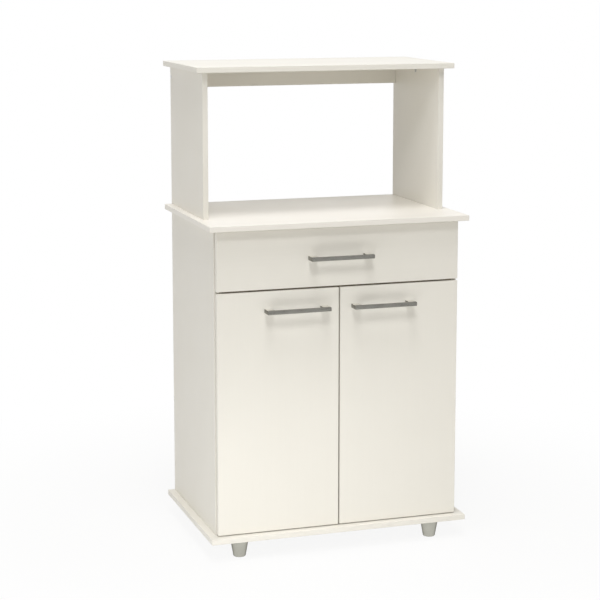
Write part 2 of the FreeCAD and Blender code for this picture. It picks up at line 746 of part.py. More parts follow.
# ---------------------------------------------------------------- roller runners
SHEET_STEEL = size("runner_sheet")
ROLLER_Z = DRAWER_UNDER + size("roller_radius")
CABINET_ROLLER_DEPTH = RUNNER_FRONT - size("roller_inset")
DRAWER_ROLLER_DEPTH = RUNNER_BACK + size("roller_inset")
LIP_UNDER = ROLLER_Z + size("roller_radius") + size("runner_play")
TRACK_TOP = ROLLER_Z - size("roller_radius") - size("runner_play")
TOP_LIP_UNDER = LIP_UNDER + SHEET_STEEL + size("lip_gap")
FLANGE_UNDER = DRAWER_UNDER - SHEET_STEEL
DRAWER_RUNNER_Z = ROLLER_Z
RUNNER_SCREW_STEPS = [size("runner_screw_inset") + size("runner_screw_pitch") * step
                      for step in (0, 1, 2)]
RUNNER_SCREWS = [RUNNER_BACK + step for step in RUNNER_SCREW_STEPS]
SMALL_BITE = size("small_screw_length") - SHEET_STEEL + size("end_play")
CUP_SCREW_BITE = size("small_screw_length") - size("ear_sheet") + size("end_play")


def add_roller_pin(body, hand, face, y, z):
    """Spacer, pin and cap for a roller; hand is the side of the face that the roller is on."""
    spacer = size("roller_stand_off") - size("roller_side_play")
    reach = size("roller_stand_off") + size("roller_width") + size("roller_side_play")
    steps = (
        (face, size("roller_pin_head"), spacer),
        (face + hand * spacer, size("roller_pin"), reach - spacer),
        (face + hand * reach, size("roller_pin_head"), size("roller_pin_cap")),
    )
    for level, radius, length in steps:
        sketch = start_sketch(body, "YZ", level)
        draw_circle(sketch, y, z, radius)
        pad(body, sketch, length, hand)


def make_cabinet_runner(name, hand):
    """A channel of sheet steel: the track below, the web on the side and a lip above."""
    body = start_body(f"runner_cabinet_{name}", x=hand * SIDE_INNER)
    reach = SHEET_STEEL + size("runner_flange")
    sketch = start_sketch(body, "XZ", RUNNER_BACK)
    draw_polygon(sketch, [
        (0, TRACK_TOP - SHEET_STEEL),
        (0, TOP_LIP_UNDER + SHEET_STEEL),
        (-hand * reach, TOP_LIP_UNDER + SHEET_STEEL),
        (-hand * reach, TOP_LIP_UNDER),
        (-hand * SHEET_STEEL, TOP_LIP_UNDER),
        (-hand * SHEET_STEEL, TRACK_TOP),
        (-hand * reach, TRACK_TOP),
        (-hand * reach, TRACK_TOP - SHEET_STEEL),
    ])
    pad(body, sketch, size("runner_length"))
    add_roller_pin(body, -hand, -hand * SHEET_STEEL, -CABINET_ROLLER_DEPTH, ROLLER_Z)
    spots = [(-depth, ROLLER_Z) for depth in RUNNER_SCREWS]
    drill(body, "YZ", -hand * SHEET_STEEL, spots, SMALL_HOLE, SHEET_STEEL, hand)


def make_drawer_runner(name, hand):
    """An angle under the drawer side with a lip that rides on the front roller."""
    body = start_body(f"runner_drawer_{name}", x=hand * DRAWER_HALF)
    flange = size("runner_flange")
    sketch = start_sketch(body, "XZ", RUNNER_BACK)
    draw_polygon(sketch, [
        (-hand * flange, FLANGE_UNDER),
        (hand * SHEET_STEEL, FLANGE_UNDER),
        (hand * SHEET_STEEL, LIP_UNDER),
        (hand * (SHEET_STEEL + flange), LIP_UNDER),
        (hand * (SHEET_STEEL + flange), LIP_UNDER + SHEET_STEEL),
        (0, LIP_UNDER + SHEET_STEEL),
        (0, DRAWER_UNDER),
        (-hand * flange, DRAWER_UNDER),
    ])
    pad(body, sketch, size("runner_length"))
    add_roller_pin(body, hand, hand * SHEET_STEEL, -DRAWER_ROLLER_DEPTH, ROLLER_Z)
    spots = [(-depth, ROLLER_Z) for depth in RUNNER_SCREWS]
    drill(body, "YZ", hand * SHEET_STEEL, spots, SMALL_HOLE, SHEET_STEEL, -hand)


def make_roller(label, face, hand, depth):
    """A nylon wheel beside the face of its runner, on the side that hand gives."""
    body = start_body(label, x=face + hand * size("roller_stand_off"), y=BACK - depth, z=ROLLER_Z)
    sketch = start_sketch(body, "YZ")
    draw_circle(sketch, 0, 0, size("roller_radius"))
    draw_circle(sketch, 0, 0, size("roller_pin") + FIT)
    pad(body, sketch, size("roller_width"), hand)


def make_rollers(name, hand):
    make_roller(f"roller_cabinet_{name}", hand * (SIDE_INNER - SHEET_STEEL), -hand,
                CABINET_ROLLER_DEPTH)
    make_roller(f"roller_drawer_{name}", hand * (DRAWER_HALF + SHEET_STEEL), hand,
                DRAWER_ROLLER_DEPTH)


# ---------------------------------------------------------------- concealed hinges
def plan(u, v):
    """A point of the hinge in plan: u into the cabinet, v forward of the side's front edge."""
    return FreeCAD.Vector(as_size(u).value, -as_size(v).value, 0)


ARM_PIVOT = plan(size("arm_pivot_u"), size("arm_pivot_v"))
NOSE_PIVOT = plan(size("nose_pivot_u"), size("nose_pivot_v"))
CUP_OUTER_PIVOT = plan(size("cup_outer_pivot_u"), size("cup_outer_pivot_v"))
CUP_INNER_PIVOT = plan(size("cup_inner_pivot_u"), size("cup_inner_pivot_v"))
UP = FreeCAD.Vector(0, 0, 1)

# The hinge is in layers, from its middle height outwards: the nose of the arm, the inner
# links beside it, the outer links beside those, and the cheeks of the arm.
SHEET_LINK = size("link_sheet").value
LAYER_GAP = size("link_gap").value
NOSE_TOP = size("nose_half_thickness").value
INNER_LINK_LOW = NOSE_TOP + LAYER_GAP
INNER_LINK_TOP = INNER_LINK_LOW + SHEET_LINK
OUTER_LINK_LOW = INNER_LINK_TOP + LAYER_GAP * 2
OUTER_LINK_TOP = OUTER_LINK_LOW + SHEET_LINK
CHEEK_LOW = OUTER_LINK_TOP + LAYER_GAP
CHEEK_TOP = CHEEK_LOW + SHEET_LINK


def disc(centre, radius, low, high):
    return Part.makeCylinder(radius, high - low, centre + UP * low, UP)


def strap(points, radius, low, high):
    """A strip of even width that bends at its points, with round ends."""
    solid = disc(points[0], radius, low, high)
    for start, end in zip(points, points[1:]):
        along = end - start
        across = FreeCAD.Vector(-along.y, along.x, 0).normalize() * radius
        corners = [start + across, start - across, end - across, end + across]
        corners = [corner + UP * low for corner in corners]
        face = Part.Face(Part.makePolygon(corners + corners[:1]))
        solid = solid.fuse([face.extrude(UP * (high - low)), disc(end, radius, low, high)])
    return solid.removeSplitter()


def block(low, high):
    """A box between two opposite corners in plan and height."""
    (u1, v1, z1), (u2, v2, z2) = low, high
    corner = FreeCAD.Vector(u1, -v2, z1)
    return Part.makeBox(u2 - u1, v2 - v1, z2 - z1, corner)


def both_heights(make, low, high):
    """The same layer above and below the hinge's middle height."""
    return [make(low, high), make(-high, -low)]


def outer_links():
    """Two bent links from the arm's pivot to the cup's outer pivot, round the door's edge."""
    half = size("link_half_width").value
    elbow = CUP_OUTER_PIVOT + FreeCAD.Vector(LINK_ELBOW.value, 0, 0)
    play = FIT.value

    def link(low, high):
        solid = strap([CUP_OUTER_PIVOT, elbow, ARM_PIVOT], half, low, high)
        solid = solid.fuse([
            disc(CUP_OUTER_PIVOT, size("eye_radius").value, low, high),
            disc(ARM_PIVOT, size("arm_eye_radius").value, low, high),
        ]).removeSplitter()
        for centre in (CUP_OUTER_PIVOT, ARM_PIVOT):
            solid = solid.cut(disc(centre, size("hinge_pin_radius").value + play, low, high))
        return solid

    return both_heights(link, OUTER_LINK_LOW, OUTER_LINK_TOP)


def inner_links():
    """Two short links from the nose to the cup's inner pivot, whose hole has room to spare."""
    hole = size("inner_pin_radius").value + size("open_pivot_play").value
    play = FIT.value

    def link(low, high):
        solid = strap([NOSE_PIVOT, CUP_INNER_PIVOT], size("link_half_width").value, low, high)
        eye = disc(CUP_INNER_PIVOT, hole + size("open_eye_wall").value, low, high)
        solid = solid.fuse(eye).removeSplitter()
        solid = solid.cut(disc(CUP_INNER_PIVOT, hole, low, high))
        return solid.cut(disc(NOSE_PIVOT, size("hinge_pin_radius").value + play, low, high))

    return both_heights(link, INNER_LINK_LOW, INNER_LINK_TOP)


def hinge_arm():
    """A channel over the plate, its two pins, and the goose-necked nose that enters the cup."""
    back = size("arm_back_v").value
    front = size("arm_pivot_v").value
    top = size("arm_top_u").value
    foot = size("arm_foot_u").value
    web = block((top - SHEET_LINK, back, -CHEEK_TOP), (top, front, CHEEK_TOP))
    parts = []
    for low, high in ((CHEEK_LOW, CHEEK_TOP), (-CHEEK_TOP, -CHEEK_LOW)):
        parts.append(block((foot, back, low), (top, front, high)))
        parts.append(disc(ARM_PIVOT, top - size("arm_pivot_u").value, low, high))
    neck = [
        plan(top - SHEET_LINK / 2, front + size("neck_root_v").value),
        plan(size("neck_u"), size("neck_bend_v")),
        plan(size("neck_u"), size("nose_pivot_v")),
        NOSE_PIVOT,
    ]
    parts.append(strap(neck, size("link_half_width").value, -NOSE_TOP, NOSE_TOP))
    pin = size("hinge_pin_radius").value
    parts.append(disc(ARM_PIVOT, pin, -CHEEK_TOP, CHEEK_TOP))
    parts.append(disc(NOSE_PIVOT, pin, -INNER_LINK_TOP - LAYER_GAP / 2, INNER_LINK_TOP + LAYER_GAP / 2))
    return web.fuse(parts).removeSplitter()


def hinge_plate():
    """Two wings screwed to the cabinet side and the saddle that carries the arm."""
    sheet = size("plate_sheet").value
    half = size("plate_half_height").value
    back = size("plate_back_v").value
    front = size("plate_front_v").value
    wings = block((0, back, -half), (sheet, front, half))
    saddle_top = size("arm_top_u").value - SHEET_LINK
    saddle_half = CHEEK_LOW - LAYER_GAP
    saddle = block((0, back, -saddle_half), (saddle_top, front, saddle_half))
    solid = wings.fuse(saddle).removeSplitter()
    for hand in (-1, 1):
        spot = FreeCAD.Vector(0, -PLATE_SCREW_V.value, hand * PLATE_SCREW_RISE.value)
        solid = solid.cut(Part.makeCylinder(SMALL_HOLE.value, sheet, spot, FreeCAD.Vector(1, 0, 0)))
    return solid


def hinge_cup():
    """A round cup let into the door's back, with ears for its screws and its two pivots."""
    radius = size("cup_radius").value
    wall = size("cup_wall").value
    depth = size("cup_depth").value
    face = size("front_standoff").value
    centre = plan(size("cup_centre_u"), 0)
    forward = FreeCAD.Vector(0, -1, 0)
    rim = centre + forward * face
    ear_sheet = size("ear_sheet").value
    outer = Part.makeCylinder(radius, depth, rim, forward)
    flange = []
    for hand in (-1, 1):
        ear = rim - forward * ear_sheet + UP * (hand * size("ear_reach").value)
        flange.append(Part.makeCylinder(size("ear_radius").value, ear_sheet, ear, forward))
    width = size("ear_radius").value
    reach = size("ear_reach").value
    flange.append(Part.makeBox(width * 2, ear_sheet, reach * 2,
                               FreeCAD.Vector(rim.x - width, rim.y, -reach)))
    solid = outer.fuse(flange).removeSplitter()
    inside = radius - wall
    solid = solid.cut(Part.makeCylinder(inside, depth - wall + ear_sheet,
                                        rim - forward * ear_sheet, forward))
    for hand in (-1, 1):
        ear = rim - forward * ear_sheet + UP * (hand * reach)
        solid = solid.cut(Part.makeCylinder(SMALL_HOLE.value, ear_sheet, ear, forward))
    pins = [chord_pin(CUP_INNER_PIVOT, size("inner_pin_radius").value, centre, radius, 0)]
    stub = OUTER_LINK_LOW - LAYER_GAP / 2
    for hand in (-1, 1):
        pins.append(chord_pin(CUP_OUTER_PIVOT, size("hinge_pin_radius").value, centre, radius,
                              hand * stub))
    return solid.fuse(pins).removeSplitter()


def chord_pin(pivot, pin_radius, centre, radius, stop):
    """A pin across the cup, or from one wall to the height stop, held half way into the wall."""
    offset = abs(pivot.x - centre.x) + pin_radius
    reach = math.sqrt(radius ** 2 - offset ** 2) - size("cup_wall").value / 2
    if stop == 0:
        return disc(pivot, pin_radius, -reach, reach)
    low, high = sorted((stop, math.copysign(reach, stop)))
    return disc(pivot, pin_radius, low, high)


def place_hinges(solids, hand):
    """Copies of a hinge's solids at both hinge heights of one door, mirrored for the right."""
    copies = []
    for height in HINGE_HEIGHTS:
        for solid in solids:
            copy = solid.copy()
            if hand > 0:
                copy = copy.mirror(FreeCAD.Vector(0, 0, 0), FreeCAD.Vector(1, 0, 0))
            spot = FreeCAD.Vector(hand * SIDE_INNER.value, -SIDE_DEPTH.value, height.value)
            copy.translate(spot)
            copies.append(copy)
    return copies


def make_hinges(name, hand):
    shape_part(f"{name}_hinge_arms", Part.Compound(place_hinges([hinge_arm()], hand)))
    shape_part(f"{name}_hinge_cups", Part.Compound(place_hinges([hinge_cup()], hand)))
    shape_part(f"{name}_outer_links", Part.Compound(place_hinges(outer_links(), hand)))
    shape_part(f"{name}_inner_links", Part.Compound(place_hinges(inner_links(), hand)))


def make_hinge_plates():
    plates = place_hinges([hinge_plate()], -1) + place_hinges([hinge_plate()], 1)
    shape_part("hinge_plates", Part.Compound(plates))


LINK_ELBOW = size("link_elbow")
PLATE_SCREW_V = (size("plate_back_v") + size("plate_front_v")) / 2
PLATE_SCREW_RISE = size("plate_half_height") - size("plate_screw_margin")
PLATE_SCREWS = [(SIDE_DEPTH + PLATE_SCREW_V, height + PLATE_SCREW_RISE * hand)
                for height in HINGE_HEIGHTS for hand in (-1, 1)]
SIDE_SMALL_SCREWS = PLATE_SCREWS + [(depth, ROLLER_Z) for depth in RUNNER_SCREWS]


# ---------------------------------------------------------------- fasteners
FORWARD = (0, -1, 0)
BACKWARD = (0, 1, 0)
UPWARD = (0, 0, 1)


def dowel():
    radius = size("dowel_radius")
    inner = radius - size("dowel_chamfer")
    length = size("dowel_length")
    edge = size("dowel_chamfer")
    return turned_solid([(0, 0), (inner, 0), (radius, edge), (radius, length - edge),
                         (inner, length), (0, length)])


def long_screw():
    """Countersunk: the head's face is at 0 and the point is at the far end."""
    head = size("screw_head_radius")
    shank = size("screw_radius")
    length = size("screw_length")
    return turned_solid([(0, 0), (head, 0), (shank, head - shank), (shank, length - shank),
                         (0, length)])


def pan_screw(radius, head_radius, head, length):
    """The head stands behind 0 and the shank goes ahead of it."""
    return turned_solid([(0, -head), (head_radius, -head), (head_radius, 0), (radius, 0),
                         (radius, length - radius), (0, length)])


def small_screw():
    return pan_screw(size("small_screw_radius"), size("small_screw_head"),
                     size("small_pan_head"), size("small_screw_length"))


def handle_screw():
    return pan_screw(size("screw_radius"), size("screw_head_radius"), size("pan_head"),
                     size("handle_screw_length"))


def foot_screw():
    return pan_screw(size("screw_radius"), size("screw_head_radius"), size("pan_head"),
                     size("foot_screw_length"))


def cam_bolt():
    """Screwed into one board; its necked head ends in the middle of the cam."""
    radius = size("bolt_radius")
    neck = radius - size("bolt_neck")
    head = size("bolt_head")
    length = size("bolt_bite") + size("cam_setback")
    return turned_solid([(0, 0), (radius, 0), (radius, length - head * 2),
                         (neck, length - head * 2), (neck, length - head), (radius, length - head),
                         (radius, length), (0, length)])


def cam_lock(middle):
    """A drum whose face is at 0; the bolt comes in along +X at the height middle."""
    radius = size("cam_radius").value
    depth = size("cam_depth").value
    drum = Part.makeCylinder(radius, depth)
    channel = Part.makeCylinder(BOLT_HOLE.value, radius + FIT.value,
                                FreeCAD.Vector(-FIT.value, 0, middle), FreeCAD.Vector(1, 0, 0))
    width = size("cam_slot").value
    slot = Part.makeBox(radius, width, width, FreeCAD.Vector(-radius / 2, -width / 2, 0))
    return drum.cut([channel, slot])


def place_cam(x, depth, z, inward, toward_bolt):
    """A cam lock with its face at x, depth, z, let in along inward, open towards its bolt."""
    into = FreeCAD.Vector(*inward)
    toward = FreeCAD.Vector(*toward_bolt)
    turn = FreeCAD.Rotation(toward, into.cross(toward), into, "XZY")
    copy = cam_lock(HALF_BOARD.value)
    spot = FreeCAD.Vector(as_size(x).value, -as_size(depth).value, as_size(z).value)
    copy.Placement = FreeCAD.Placement(spot, turn)
    return copy


def rows(x, depths, z, direction):
    """One fastener on each hand for every depth."""
    return [(hand * x, -depth, z, direction) for hand in (-1, 1) for depth in depths]


def outward(hand):
    return (hand, 0, 0)


def make_dowels():
    bite = size("dowel_bite")
    rest = size("dowel_length") - bite
    places = rows(SIDE_MIDDLE, CABINET_DOWELS, BASE_TOP - bite, UPWARD)
    places += rows(SIDE_MIDDLE, CABINET_DOWELS, WORKTOP_UNDER - rest, UPWARD)
    places += rows(SIDE_MIDDLE, HUTCH_DOWELS, WORKTOP_TOP - bite, UPWARD)
    places += rows(SIDE_MIDDLE, HUTCH_DOWELS, SHELF_UNDER - rest, UPWARD)
    for hand in (-1, 1):
        places.append((hand * (SIDE_INNER - rest), -RAIL_DOWEL, RAIL_MIDDLE, outward(hand)))
    group("dowels", dowel(), places)


def make_screws():
    places = rows(SIDE_MIDDLE, CABINET_CAMS, BASE_UNDER, UPWARD)
    places += rows(SIDE_MIDDLE, HUTCH_SCREWS, WORKTOP_UNDER, UPWARD)
    rail_z = SHELF_UNDER - size("hutch_rail_height") / 2
    for hand in (-1, 1):
        places.append((hand * SIDE_OUTER, -HALF_BOARD, rail_z, outward(-hand)))
    group("panel_screws", long_screw(), places)


def make_cam_fittings():
    setback = size("cam_setback")
    bite = size("bolt_bite")
    bolts = [(hand * SIDE_MIDDLE, -depth, WORKTOP_UNDER + bite, (0, 0, -1))
             for hand in (-1, 1) for depth in CABINET_CAMS]
    bolts += [(hand * SIDE_MIDDLE, -HUTCH_MIDDLE, SHELF_UNDER + bite, (0, 0, -1)) for hand in (-1, 1)]
    bolts += [(hand * (SIDE_INNER + bite), -RAIL_CAM, RAIL_MIDDLE, outward(-hand)) for hand in (-1, 1)]
    group("cam_bolts", cam_bolt(), bolts)
    cams = []
    for hand in (-1, 1):
        for depth in CABINET_CAMS:
            cams.append(place_cam(hand * SIDE_INNER, depth, WORKTOP_UNDER - setback,
                                  outward(hand), UPWARD))
        cams.append(place_cam(hand * SIDE_INNER, HUTCH_MIDDLE, SHELF_UNDER - setback,
                              outward(hand), UPWARD))
        cams.append(place_cam(hand * (SIDE_INNER - setback), RAIL_CAM, RAIL_UNDER,
                              UPWARD, outward(hand)))
    shape_part("cam_locks", Part.Compound(cams))


def make_drawer_fittings():
    middle = DRAWER_HALF - size("drawer_board") / 2
    cam_z = DRAWER_UNDER + size("drawer_cam_rise")
    dowel_z = DRAWER_UNDER + size("drawer_dowel_rise")
    setback = size("cam_setback")
    rest = size("dowel_length") - size("dowel_bite")
    hands = (-1, 1)
    group("drawer_dowels", dowel(),
          [(hand * middle, -FRONT_BACK + rest, dowel_z, FORWARD) for hand in hands])
    group("drawer_cam_bolts", cam_bolt(),
          [(hand * middle, -FRONT_BACK - size("bolt_bite"), cam_z, BACKWARD) for hand in hands])
    cams = [place_cam(hand * DRAWER_INNER, FRONT_BACK - setback, cam_z, outward(hand), FORWARD)
            for hand in hands]
    shape_part("drawer_cam_locks", Part.Compound(cams))
    group("drawer_screws", long_screw(),
          [(hand * DRAWER_HALF, -DRAWER_SCREW_DEPTH, DRAWER_UNDER + rise, outward(-hand))
           for hand in hands for rise in DRAWER_SCREW_RISES])
    face = DRAWER_HALF + SHEET_STEEL
    group("drawer_runner_screws", small_screw(),
          [(hand * face, -depth, ROLLER_Z, outward(-hand))
           for hand in hands for depth in RUNNER_SCREWS])
    group("cabinet_runner_screws", small_screw(),
          [(hand * (SIDE_INNER - SHEET_STEEL), -depth, ROLLER_Z, outward(hand))
           for hand in hands for depth in RUNNER_SCREWS])


def make_hinge_screws():
    face = SIDE_INNER - size("plate_sheet")
    group("hinge_plate_screws", small_screw(),
          [(hand * face, -depth, height, outward(hand))
           for hand in (-1, 1) for depth, height in PLATE_SCREWS])
    for name, hand in (("left", -1), ("right", 1)):
        group(f"{name}_cup_screws", small_screw(),
              [(hand * CUP_X, -FRONT_BACK + size("ear_sheet"), height + size("ear_reach") * side,
                FORWARD) for height in HINGE_HEIGHTS for side in (-1, 1)])


def make_handle_screws(label, x, z):
    places = [(x + hand * HANDLE_SCREW_X, -FRONT_BACK, z, FORWARD) for hand in (-1, 1)]
    group(label, handle_screw(), places)


def make_foot_screws():
    seat = BASE_UNDER + size("foot_screw_bite") - size("foot_screw_length")
    group("foot_screws", foot_screw(), rows(FOOT_X, FOOT_DEPTHS, seat, UPWARD))


def make_shelf_pins():
    radius = size("pin_radius")
    bite = size("pin_bite")
    collar = size("pin_collar_radius")
    end = bite + size("pin_reach")
    pin = turned_solid([(0, 0), (radius, 0), (radius, bite), (collar, bite),
                        (collar, bite + size("pin_collar")), (radius, bite + size("pin_collar")),
                        (radius, end), (0, end)])
    z = BASE_TOP + size("inner_shelf_rise") - radius - FIT
    group("shelf_pins", pin, [(hand * (SIDE_INNER + bite), -depth, z, outward(-hand))
                              for hand in (-1, 1) for depth in PIN_DEPTHS])


# ---------------------------------------------------------------- the cart
def build_cart():
    make_base()
    make_worktop()
    make_top_shelf()
    make_hutch_rail()
    make_cabinet_back()
    make_inner_shelf()
    make_front_rail()
    make_drawer_front()
    make_drawer_back()
    make_drawer_bottom()
    for name, hand in (("left", -1), ("right", 1)):
        make_cabinet_side(name, hand)
        make_hutch_side(name, hand)
        make_foot(f"front_{name}", hand, FOOT_DEPTHS[1])
        make_foot(f"rear_{name}", hand, FOOT_DEPTHS[0])
        make_door(name, hand)
        make_handle(f"{name}_door_handle", hand * DOOR_HANDLE_X, DOOR_HANDLE_Z)
        make_handle_screws(f"{name}_handle_screws", hand * DOOR_HANDLE_X, DOOR_HANDLE_Z)
        make_hinges(name, hand)
        make_drawer_side(name, hand)
        make_cabinet_runner(name, hand)
        make_drawer_runner(name, hand)
        make_rollers(name, hand)
    make_handle("drawer_handle", 0, DRAWER_HANDLE_Z)
    make_handle_screws("drawer_handle_screws", 0, DRAWER_HANDLE_Z)
    make_hinge_plates()
    make_hinge_screws()
    make_foot_screws()
    make_shelf_pins()
    make_dowels()
    make_screws()
    make_cam_fittings()
    make_drawer_fittings()
    DOC.recompute()


def check_document():
    """Stops before anything is written if a feature failed or a cut missed its piece."""
    for feature in DOC.Objects:
        if "Invalid" in feature.State or "Error" in feature.State:
            raise RuntimeError(f"{feature.Label} did not build: {feature.State}")
    for cut in CUTS:
        before = cut.BaseFeature.Shape.Volume
        if cut.Shape.Volume > before - 0.1:
            raise RuntimeError(f"{cut.Label} cut nothing")
    for piece in PARTS:
        if piece.Shape.isNull() or not piece.Shape.isValid():
            raise RuntimeError(f"{piece.Label} has no valid shape")
        if not piece.Shape.Solids:
            raise RuntimeError(f"{piece.Label} has no solid")


def write_parts():
    os.makedirs("parts", exist_ok=True)
    for piece in PARTS:
        piece.Shape.exportStep(f"parts/{piece.Label}.step")
    print(len(PARTS), "nodes,", sum(len(piece.Shape.Solids) for piece in PARTS), "solids")


build_cart()
check_document()
write_parts()
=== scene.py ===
# %% [markdown]
# # A white kitchen cart for a microwave oven
# The cart is flat-pack furniture: boards faced with white melamine, joined by cams, dowels
# and screws that hardly show. Its construction comes packed as a frame of named parts that
# already have the right size and place, so this script gives every part its finish, models
# the small things that are only seen close up, and lights and frames the whole.

# %% Load the cart
import json
import math
import bmesh
import bpy
from mathutils import Matrix, Vector


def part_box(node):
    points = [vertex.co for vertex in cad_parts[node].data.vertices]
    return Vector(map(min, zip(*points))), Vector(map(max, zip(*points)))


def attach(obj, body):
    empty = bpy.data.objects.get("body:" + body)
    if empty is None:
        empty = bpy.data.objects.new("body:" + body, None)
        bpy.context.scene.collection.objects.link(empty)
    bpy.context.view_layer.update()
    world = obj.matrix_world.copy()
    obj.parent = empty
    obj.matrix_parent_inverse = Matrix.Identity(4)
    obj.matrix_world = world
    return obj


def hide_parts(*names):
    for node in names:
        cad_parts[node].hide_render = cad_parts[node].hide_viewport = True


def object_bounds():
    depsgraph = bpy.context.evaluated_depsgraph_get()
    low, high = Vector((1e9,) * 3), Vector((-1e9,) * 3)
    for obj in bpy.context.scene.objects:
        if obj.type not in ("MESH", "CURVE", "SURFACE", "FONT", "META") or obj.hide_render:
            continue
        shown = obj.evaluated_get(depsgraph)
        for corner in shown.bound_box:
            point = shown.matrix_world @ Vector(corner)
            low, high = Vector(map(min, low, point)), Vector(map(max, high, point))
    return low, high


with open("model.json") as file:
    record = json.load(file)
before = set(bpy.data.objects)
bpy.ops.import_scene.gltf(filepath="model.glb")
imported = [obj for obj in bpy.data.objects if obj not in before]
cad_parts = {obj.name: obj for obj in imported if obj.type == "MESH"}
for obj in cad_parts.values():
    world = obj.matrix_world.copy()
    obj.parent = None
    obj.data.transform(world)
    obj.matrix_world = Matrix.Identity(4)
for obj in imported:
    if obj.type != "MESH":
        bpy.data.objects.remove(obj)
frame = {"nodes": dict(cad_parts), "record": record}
nodes = frame["nodes"]
cad_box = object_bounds()
MM = 0.001
print("parts:", len(nodes), "box:", [[round(v, 4) for v in corner] for corner in cad_box])

# %% [markdown]
# ## The camera
# The photograph was taken from the left of the cart, above the worktop, with a long lens.
# Its place, turn and lens were worked out from the edges of the boards, whose sizes are known.
# The lens is aimed a little above the middle of the picture, as on a cropped photograph,
# and the camera's shift repeats that crop without tilting the upright lines.

# %% Place the camera
FRAME_PIXELS = 600
LENS_PIXELS = 1754.5
AXIS_ROW = 240
SENSOR_MM = 36
CAMERA_PLACE = Vector((-1.26814, -3.76268, 1.29236))
CAMERA_YAW = 0.317
CAMERA_PITCH = 0.154


def aim(yaw, pitch):
    """A turn that looks along +Y at rest, then yaw towards +X and pitch downwards."""
    level = math.cos(pitch)
    ahead = Vector((math.sin(yaw) * level, math.cos(yaw) * level, -math.sin(pitch)))
    right = Vector((math.cos(yaw), -math.sin(yaw), 0))
    up = right.cross(ahead)
    return Matrix((right, up, -ahead)).transposed().to_euler()


lens = bpy.data.cameras.new("photo_lens")
lens.sensor_width = SENSOR_MM
lens.lens = LENS_PIXELS / FRAME_PIXELS * SENSOR_MM
lens.shift_y = (AXIS_ROW - FRAME_PIXELS / 2) / FRAME_PIXELS
camera = bpy.data.objects.new("photo_camera", lens)
camera.location = CAMERA_PLACE
camera.rotation_euler = aim(CAMERA_YAW, CAMERA_PITCH)
bpy.context.scene.collection.objects.link(camera)
bpy.context.scene.camera = camera
bpy.context.scene.view_settings.view_transform = "Standard"
print("lens:", round(lens.lens, 2), "mm, shift:", round(lens.shift_y, 3))

# %% [markdown]
# ## Soft light from above
# Two things can be read from the shadows. Under each overhanging board lies a narrow, fairly
# clear band, so one light stands in front, to the left and above. The top shelf also
# shades the back half of the worktop, so a second one hangs nearly overhead, and a wide weak
# one on the left opens up the sides. The boards get lighter towards the floor, as they do
# above a white studio floor, so a long bounce card lies low in front of the cart. Everything
# else is fill, a weak and slightly warm light from the whole world.


# %% Hang the lamps
def hang_lamp(name, target, direction, distance, width, height, power):
    """A soft box in the given direction from its target, facing it, that no picture shows."""
    data = bpy.data.lights.new(name, "AREA")
    data.shape = "RECTANGLE"
    data.size = width
    data.size_y = height
    data.energy = power
    lamp = bpy.data.objects.new(name, data)
    toward = Vector(direction).normalized()
    lamp.location = target + toward * distance
    lamp.rotation_euler = toward.to_track_quat("Z", "Y").to_euler()
    lamp.visible_camera = False
    bpy.context.scene.collection.objects.link(lamp)
    return lamp


CARD_AIM = 0.1
middle = (cad_box[0] + cad_box[1]) / 2
foot_line = Vector((middle.x, cad_box[0].y, CARD_AIM))
front_lamp = hang_lamp("front_softbox", middle, (-0.24, -0.82, 1.0),
                       distance=4.0, width=0.8, height=0.8, power=36.5)
top_lamp = hang_lamp("overhead_softbox", middle, (-0.12, -0.25, 1.0),
                     distance=3.6, width=1.0, height=1.0, power=47)
left_lamp = hang_lamp("left_softbox", middle, (-1.0, -0.28, 0.42),
                      distance=3.6, width=1.8, height=1.8, power=14.5)
card = hang_lamp("bounce_card", foot_line, (-0.4, -1.0, 0.0),
                 distance=0.6, width=1.3, height=0.1, power=1.4)
print("lamps:", [lamp.name for lamp in (front_lamp, top_lamp, left_lamp, card)])

# %% [markdown]
# ## Small helpers for shader nodes
# A material is a small graph. These helpers add a node, set its plain values and join its
# sockets, so that each finish below reads as a list of steps.


# %% Write the node helpers
def add_node(tree, kind, values=None, **settings):
    """Adds a node; values fill its inputs by name or number, or join them to a socket."""
    node = tree.nodes.new(kind)
    for name, setting in settings.items():
        setattr(node, name, setting)
    for key, value in (values or {}).items():
        if isinstance(value, bpy.types.NodeSocket):
            tree.links.new(value, node.inputs[key])
        else:
            node.inputs[key].default_value = value
    return node


def calculate(tree, operation, *values):
    """One step of arithmetic on sockets or numbers."""
    return add_node(tree, "ShaderNodeMath", dict(enumerate(values)), operation=operation).outputs[0]


def vector_step(tree, operation, *values):
    """One step on vectors, which gives a number for a dot product or a length."""
    node = add_node(tree, "ShaderNodeVectorMath", dict(enumerate(values)), operation=operation)
    return node.outputs["Value" if operation in ("DOT_PRODUCT", "LENGTH") else "Vector"]


print("node helpers ready")

# %% [markdown]
# ## Patterns and relief
# Real surfaces are never one flat value. A noise gives a cloudy pattern, of which nearly all
# lies in the middle of the range from 0 to 1, so it is stretched before it mixes two colours
# or two degrees of gloss. A bump turns a pattern into a fine relief that only the light sees.

# %% Write the pattern helpers
NOISE_LOW, NOISE_HIGH = 0.3, 0.7


def noise(tree, place, scale, detail=3.0, roughness=0.55):
    """A cloudy pattern; nearly all of it lies between NOISE_LOW and NOISE_HIGH."""
    values = {"Vector": place, "Scale": scale, "Detail": detail, "Roughness": roughness}
    return add_node(tree, "ShaderNodeTexNoise", values).outputs[0]


def remap(tree, value, low, high, to_low, to_high, steps="LINEAR"):
    """Turns the range from low to high into the range from to_low to to_high."""
    values = {0: value, 1: low, 2: high, 3: to_low, 4: to_high}
    return add_node(tree, "ShaderNodeMapRange", values, interpolation_type=steps).outputs[0]


